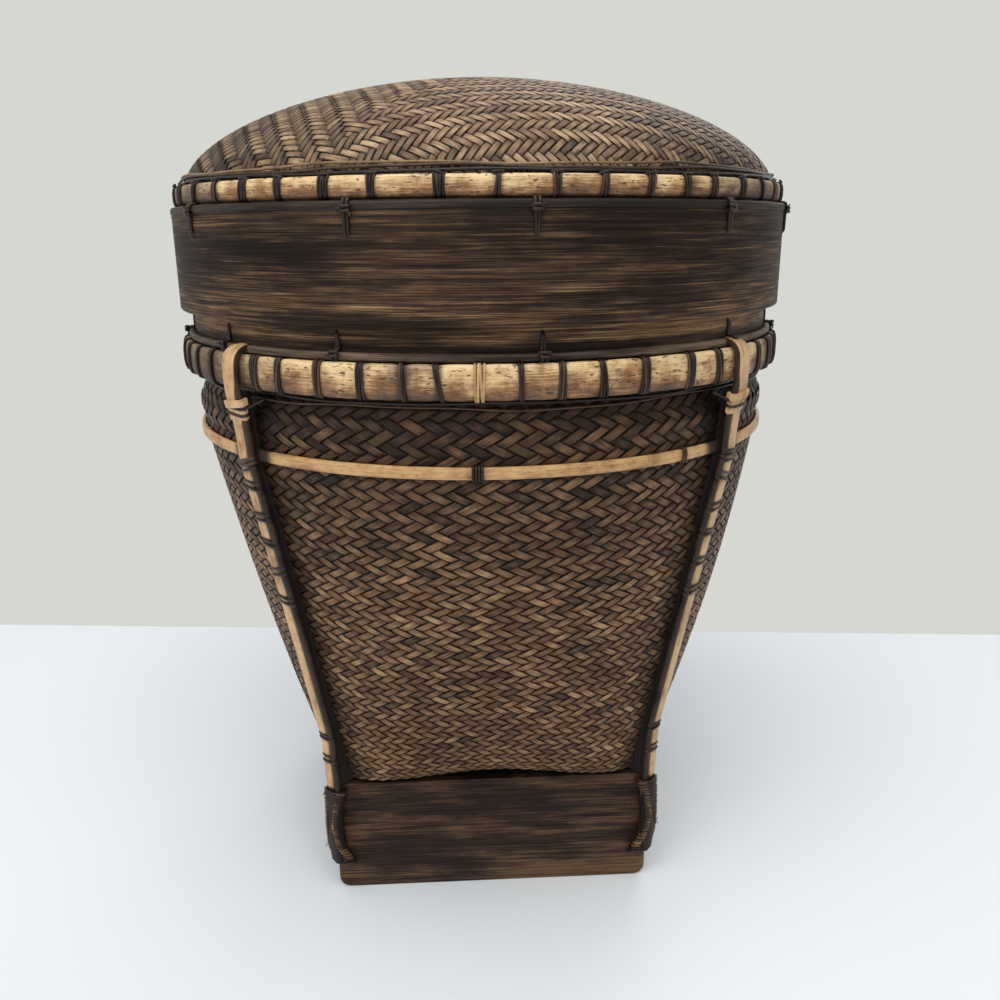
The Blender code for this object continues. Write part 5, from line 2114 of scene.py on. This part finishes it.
@dataclass
class Studio:
    """The camera, the lights, the floor and the pale wall behind."""

    place: Point = (0.0, -0.3284, 0.2234)
    down: float = 0.287
    yaw: float = 0.019
    roll: float = -0.008
    turned: float = 0.033
    lens: float = 32.87
    reach: float = 3.0
    wall_distance: float = 0.162
    wall_skew: float = 0.095
    wall_colour: Colour = srgb(214, 215, 209)

    def camera(self) -> None:
        """Sets the camera up as the photo was taken."""
        data = bpy.data.cameras.new("camera")
        data.lens = self.lens
        data.sensor_width = 36
        data.clip_start = 0.01
        made = in_scene("camera", data)
        flat = math.cos(self.down)
        ahead = Vector((math.sin(self.yaw) * flat, math.cos(self.yaw) * flat, -math.sin(self.down)))
        right = Vector((math.cos(self.yaw), -math.sin(self.yaw), 0))
        up = right.cross(ahead)
        level = right * math.cos(self.roll) + up * math.sin(self.roll)
        upright = up * math.cos(self.roll) - right * math.sin(self.roll)
        axes = Matrix((level, upright, -ahead)).transposed().to_4x4()
        turn = Matrix.Rotation(-self.turned, 4, "Z")
        made.matrix_world = turn @ Matrix.Translation(self.place) @ axes
        bpy.context.scene.camera = made

    def lamp(self, name: str, place: Point, aim: Point, size: float, power: float) -> None:
        """Adds one square soft light.

        Args:
            name: Its name.
            place: Where it hangs.
            aim: What it points at.
            size: Its side in metres.
            power: Its power in watts.
        """
        data = bpy.data.lights.new(name, "AREA")
        data.size = size
        data.energy = power
        made = in_scene(name, data)
        made.location = place
        made.rotation_euler = (Vector(aim) - Vector(place)).to_track_quat("-Z", "Y").to_euler()

    def room(self) -> None:
        """Builds the world, the floor and the wall."""
        world = bpy.data.worlds.new("room")
        bpy.context.scene.world = world
        world.use_nodes = True
        world.node_tree.nodes.clear()
        graph = Graph(world.node_tree)
        soft = graph.node("ShaderNodeBackground", None, {"Color": srgb(236, 238, 240), "Strength": 0.42})
        seen = graph.node("ShaderNodeBackground", None, {"Color": self.wall_colour, "Strength": 1.0})
        eye = graph.node("ShaderNodeLightPath", None, None, "Is Camera Ray")
        for ray in ("Is Glossy Ray", "Is Transmission Ray"):
            eye = eye.most(graph.node("ShaderNodeLightPath", None, None, ray))
        both = graph.node("ShaderNodeMixShader", None, {0: eye, 1: soft, 2: seen})
        graph.end("ShaderNodeOutputWorld", both)
        far = self.reach
        floor = self.sheet("floor", ((-far, -far, 0), (far, -far, 0), (far, far, 0), (-far, far, 0)))
        floor.data.materials.append(self.floor_material())
        left, right = self.wall_distance + far * self.wall_skew, self.wall_distance - far * self.wall_skew
        corners = ((-far, left, 0), (far, right, 0), (far, right, far), (-far, left, far))
        wall = self.sheet("wall", corners)
        wall.data.materials.append(self.wall_material())
        for ray in ("diffuse", "glossy", "transmission", "shadow"):
            setattr(wall, f"visible_{ray}", False)

    @staticmethod
    def sheet(name: str, corners: tuple[Point, ...]) -> bpy.types.Object:
        """Makes a flat part of the stage.

        Args:
            name: Its name.
            corners: Its corners.

        Returns:
            The object.
        """
        mesh = bpy.data.meshes.new(name)
        mesh.from_pydata(corners, [], [list(range(len(corners)))])
        made = in_scene(name, mesh)
        return made

    @staticmethod
    def floor_material() -> bpy.types.Material:
        """A pale smooth table top.

        Returns:
            The material.
        """
        made = bpy.data.materials.new("pale_floor")
        made.use_nodes = True
        shader = made.node_tree.nodes["Principled BSDF"]
        shader.inputs["Base Color"].default_value = srgb(236, 240, 243)
        shader.inputs["Roughness"].default_value = 0.6
        return made

    def wall_material(self) -> bpy.types.Material:
        """A pale wall that is seen only from its front.

        Returns:
            The material.
        """
        made = bpy.data.materials.new("pale_wall")
        made.use_nodes = True
        made.node_tree.nodes.clear()
        graph = Graph(made.node_tree)
        glow = graph.node("ShaderNodeEmission", None, {"Color": self.wall_colour, "Strength": 1.0})
        clear = graph.node("ShaderNodeBsdfTransparent")
        back = graph.node("ShaderNodeNewGeometry", None, None, "Backfacing")
        both = graph.node("ShaderNodeMixShader", None, {0: back, 1: glow, 2: clear})
        graph.end("ShaderNodeOutputMaterial", both)
        return made

    def build(self) -> None:
        """Builds the camera first, then the lights and the room."""
        self.camera()
        bpy.context.scene.view_settings.view_transform = "Standard"
        self.lamp("ceiling_panel", place=(-0.1, -0.6, 1.25), aim=(0, -0.1, 0.1), size=1.3, power=15.5)
        self.lamp("left_fill", place=(-1.1, -0.6, 0.7), aim=(0, 0, 0.1), size=0.9, power=2.5)
        self.lamp("back_fill", place=(0.5, 1.2, 0.9), aim=(0, 0, 0.12), size=1.0, power=5.0)
        self.room()


RIM_SEEN = (
    *(-130.3, -124.9, -117.3, -110.1, -103.5, -98.2, -92.2, -86.1),
    *(-80.0, -73.6, -66.4, -57.3, -50.5, -42.4, -36.2),
)
LID_SEEN = (
    *(-138.0, -130.4, -122.9, -114.8, -107.3, -97.5, -89.3),
    *(-80.9, -73.7, -66.1, -59.1, -53.2, -45.1, -37.6),
)


def main() -> None:
    """Builds the stage and then the basket, from the body up to the lid."""
    logging.basicConfig(level=logging.INFO, format="%(name)s %(message)s")
    Studio().build()
    Body().build()
    LashedHoop(
        label="rim",
        body="basket",
        inner=0.0976,
        outer=0.1001,
        low=0.1818,
        high=0.1912,
        seen=RIM_SEEN,
        spacing=6.4,
        skipped=tuple(corner.value for corner in Corner),
        pale=(-92.2,),
        stains=(
            Stain(-23.0, 12.0, 1.0),
            Stain(-150.0, 24.0, 0.75),
            Stain(-103.0, 5.0, 0.4),
            Stain(-60.0, 4.0, 0.35),
        ),
        inside=(0.0896, 0.0916, 0.1818, 0.1912),
        guards=(
            GuardCane(0.0956, 0.1805, 0.0005, sway=0.0003, phase=0.0, tone=0.12, paler=0.0),
            GuardCane(0.0957, 0.1791, 0.0003, sway=0.0005, phase=2.0, tone=0.3, paler=0.1),
        ),
        seed=11,
    ).build()
    Band(
        label="collar",
        body="basket",
        inner=0.0946,
        outer=0.0962,
        low=0.1818,
        high=0.2285,
        strip=(0.0962, 0.0983, 0.1914, 0.1936),
        ties=(-139.7, -114.6, -82.5, -44.7),
        stitch=0.0054,
        finish=COLLAR_BAND,
        strip_finish=COLLAR_STRIP,
        seed=21,
    ).build()
    WaistHoop().build()
    for corner in Corner:
        Rib(corner).build()
    Foot().build()
    Dome(seed=31).build()
    LashedHoop(
        label="lid",
        body="lid",
        inner=0.0968,
        outer=0.0987,
        low=0.2312,
        high=0.2366,
        seen=LID_SEEN,
        spacing=7.8,
        knots=True,
        stains=(Stain(-150.0, 14.0, 0.7), Stain(-38.0, 20.0, 0.65)),
        inside=(0.0907, 0.0927, 0.2288, 0.2366),
        guards=(
            GuardCane(0.0966, 0.2374, 0.00045, sway=0.0002, phase=0.0, tone=0.08, paler=0.0),
            GuardCane(0.0962, 0.2384, 0.0004, sway=0.0004, phase=1.2, tone=0.26, paler=0.1),
            GuardCane(0.0958, 0.2393, 0.00034, sway=0.0004, phase=2.4, tone=0.34, paler=0.32),
        ),
        seed=41,
    ).build()
    Band(
        label="lid",
        body="lid",
        inner=0.0967,
        outer=0.1001,
        low=0.2004,
        high=0.2288,
        strip=(0.0983, 0.1004, 0.2284, 0.2308),
        ties=(-145.5, -110.8, -83.9, -50.2),
        stitch=-0.0064,
        finish=LID_BAND,
        strip_finish=STRIP_BAMBOO,
        lip=0.0027,
        seed=51,
    ).build()


if __name__ == "__main__":
    main()
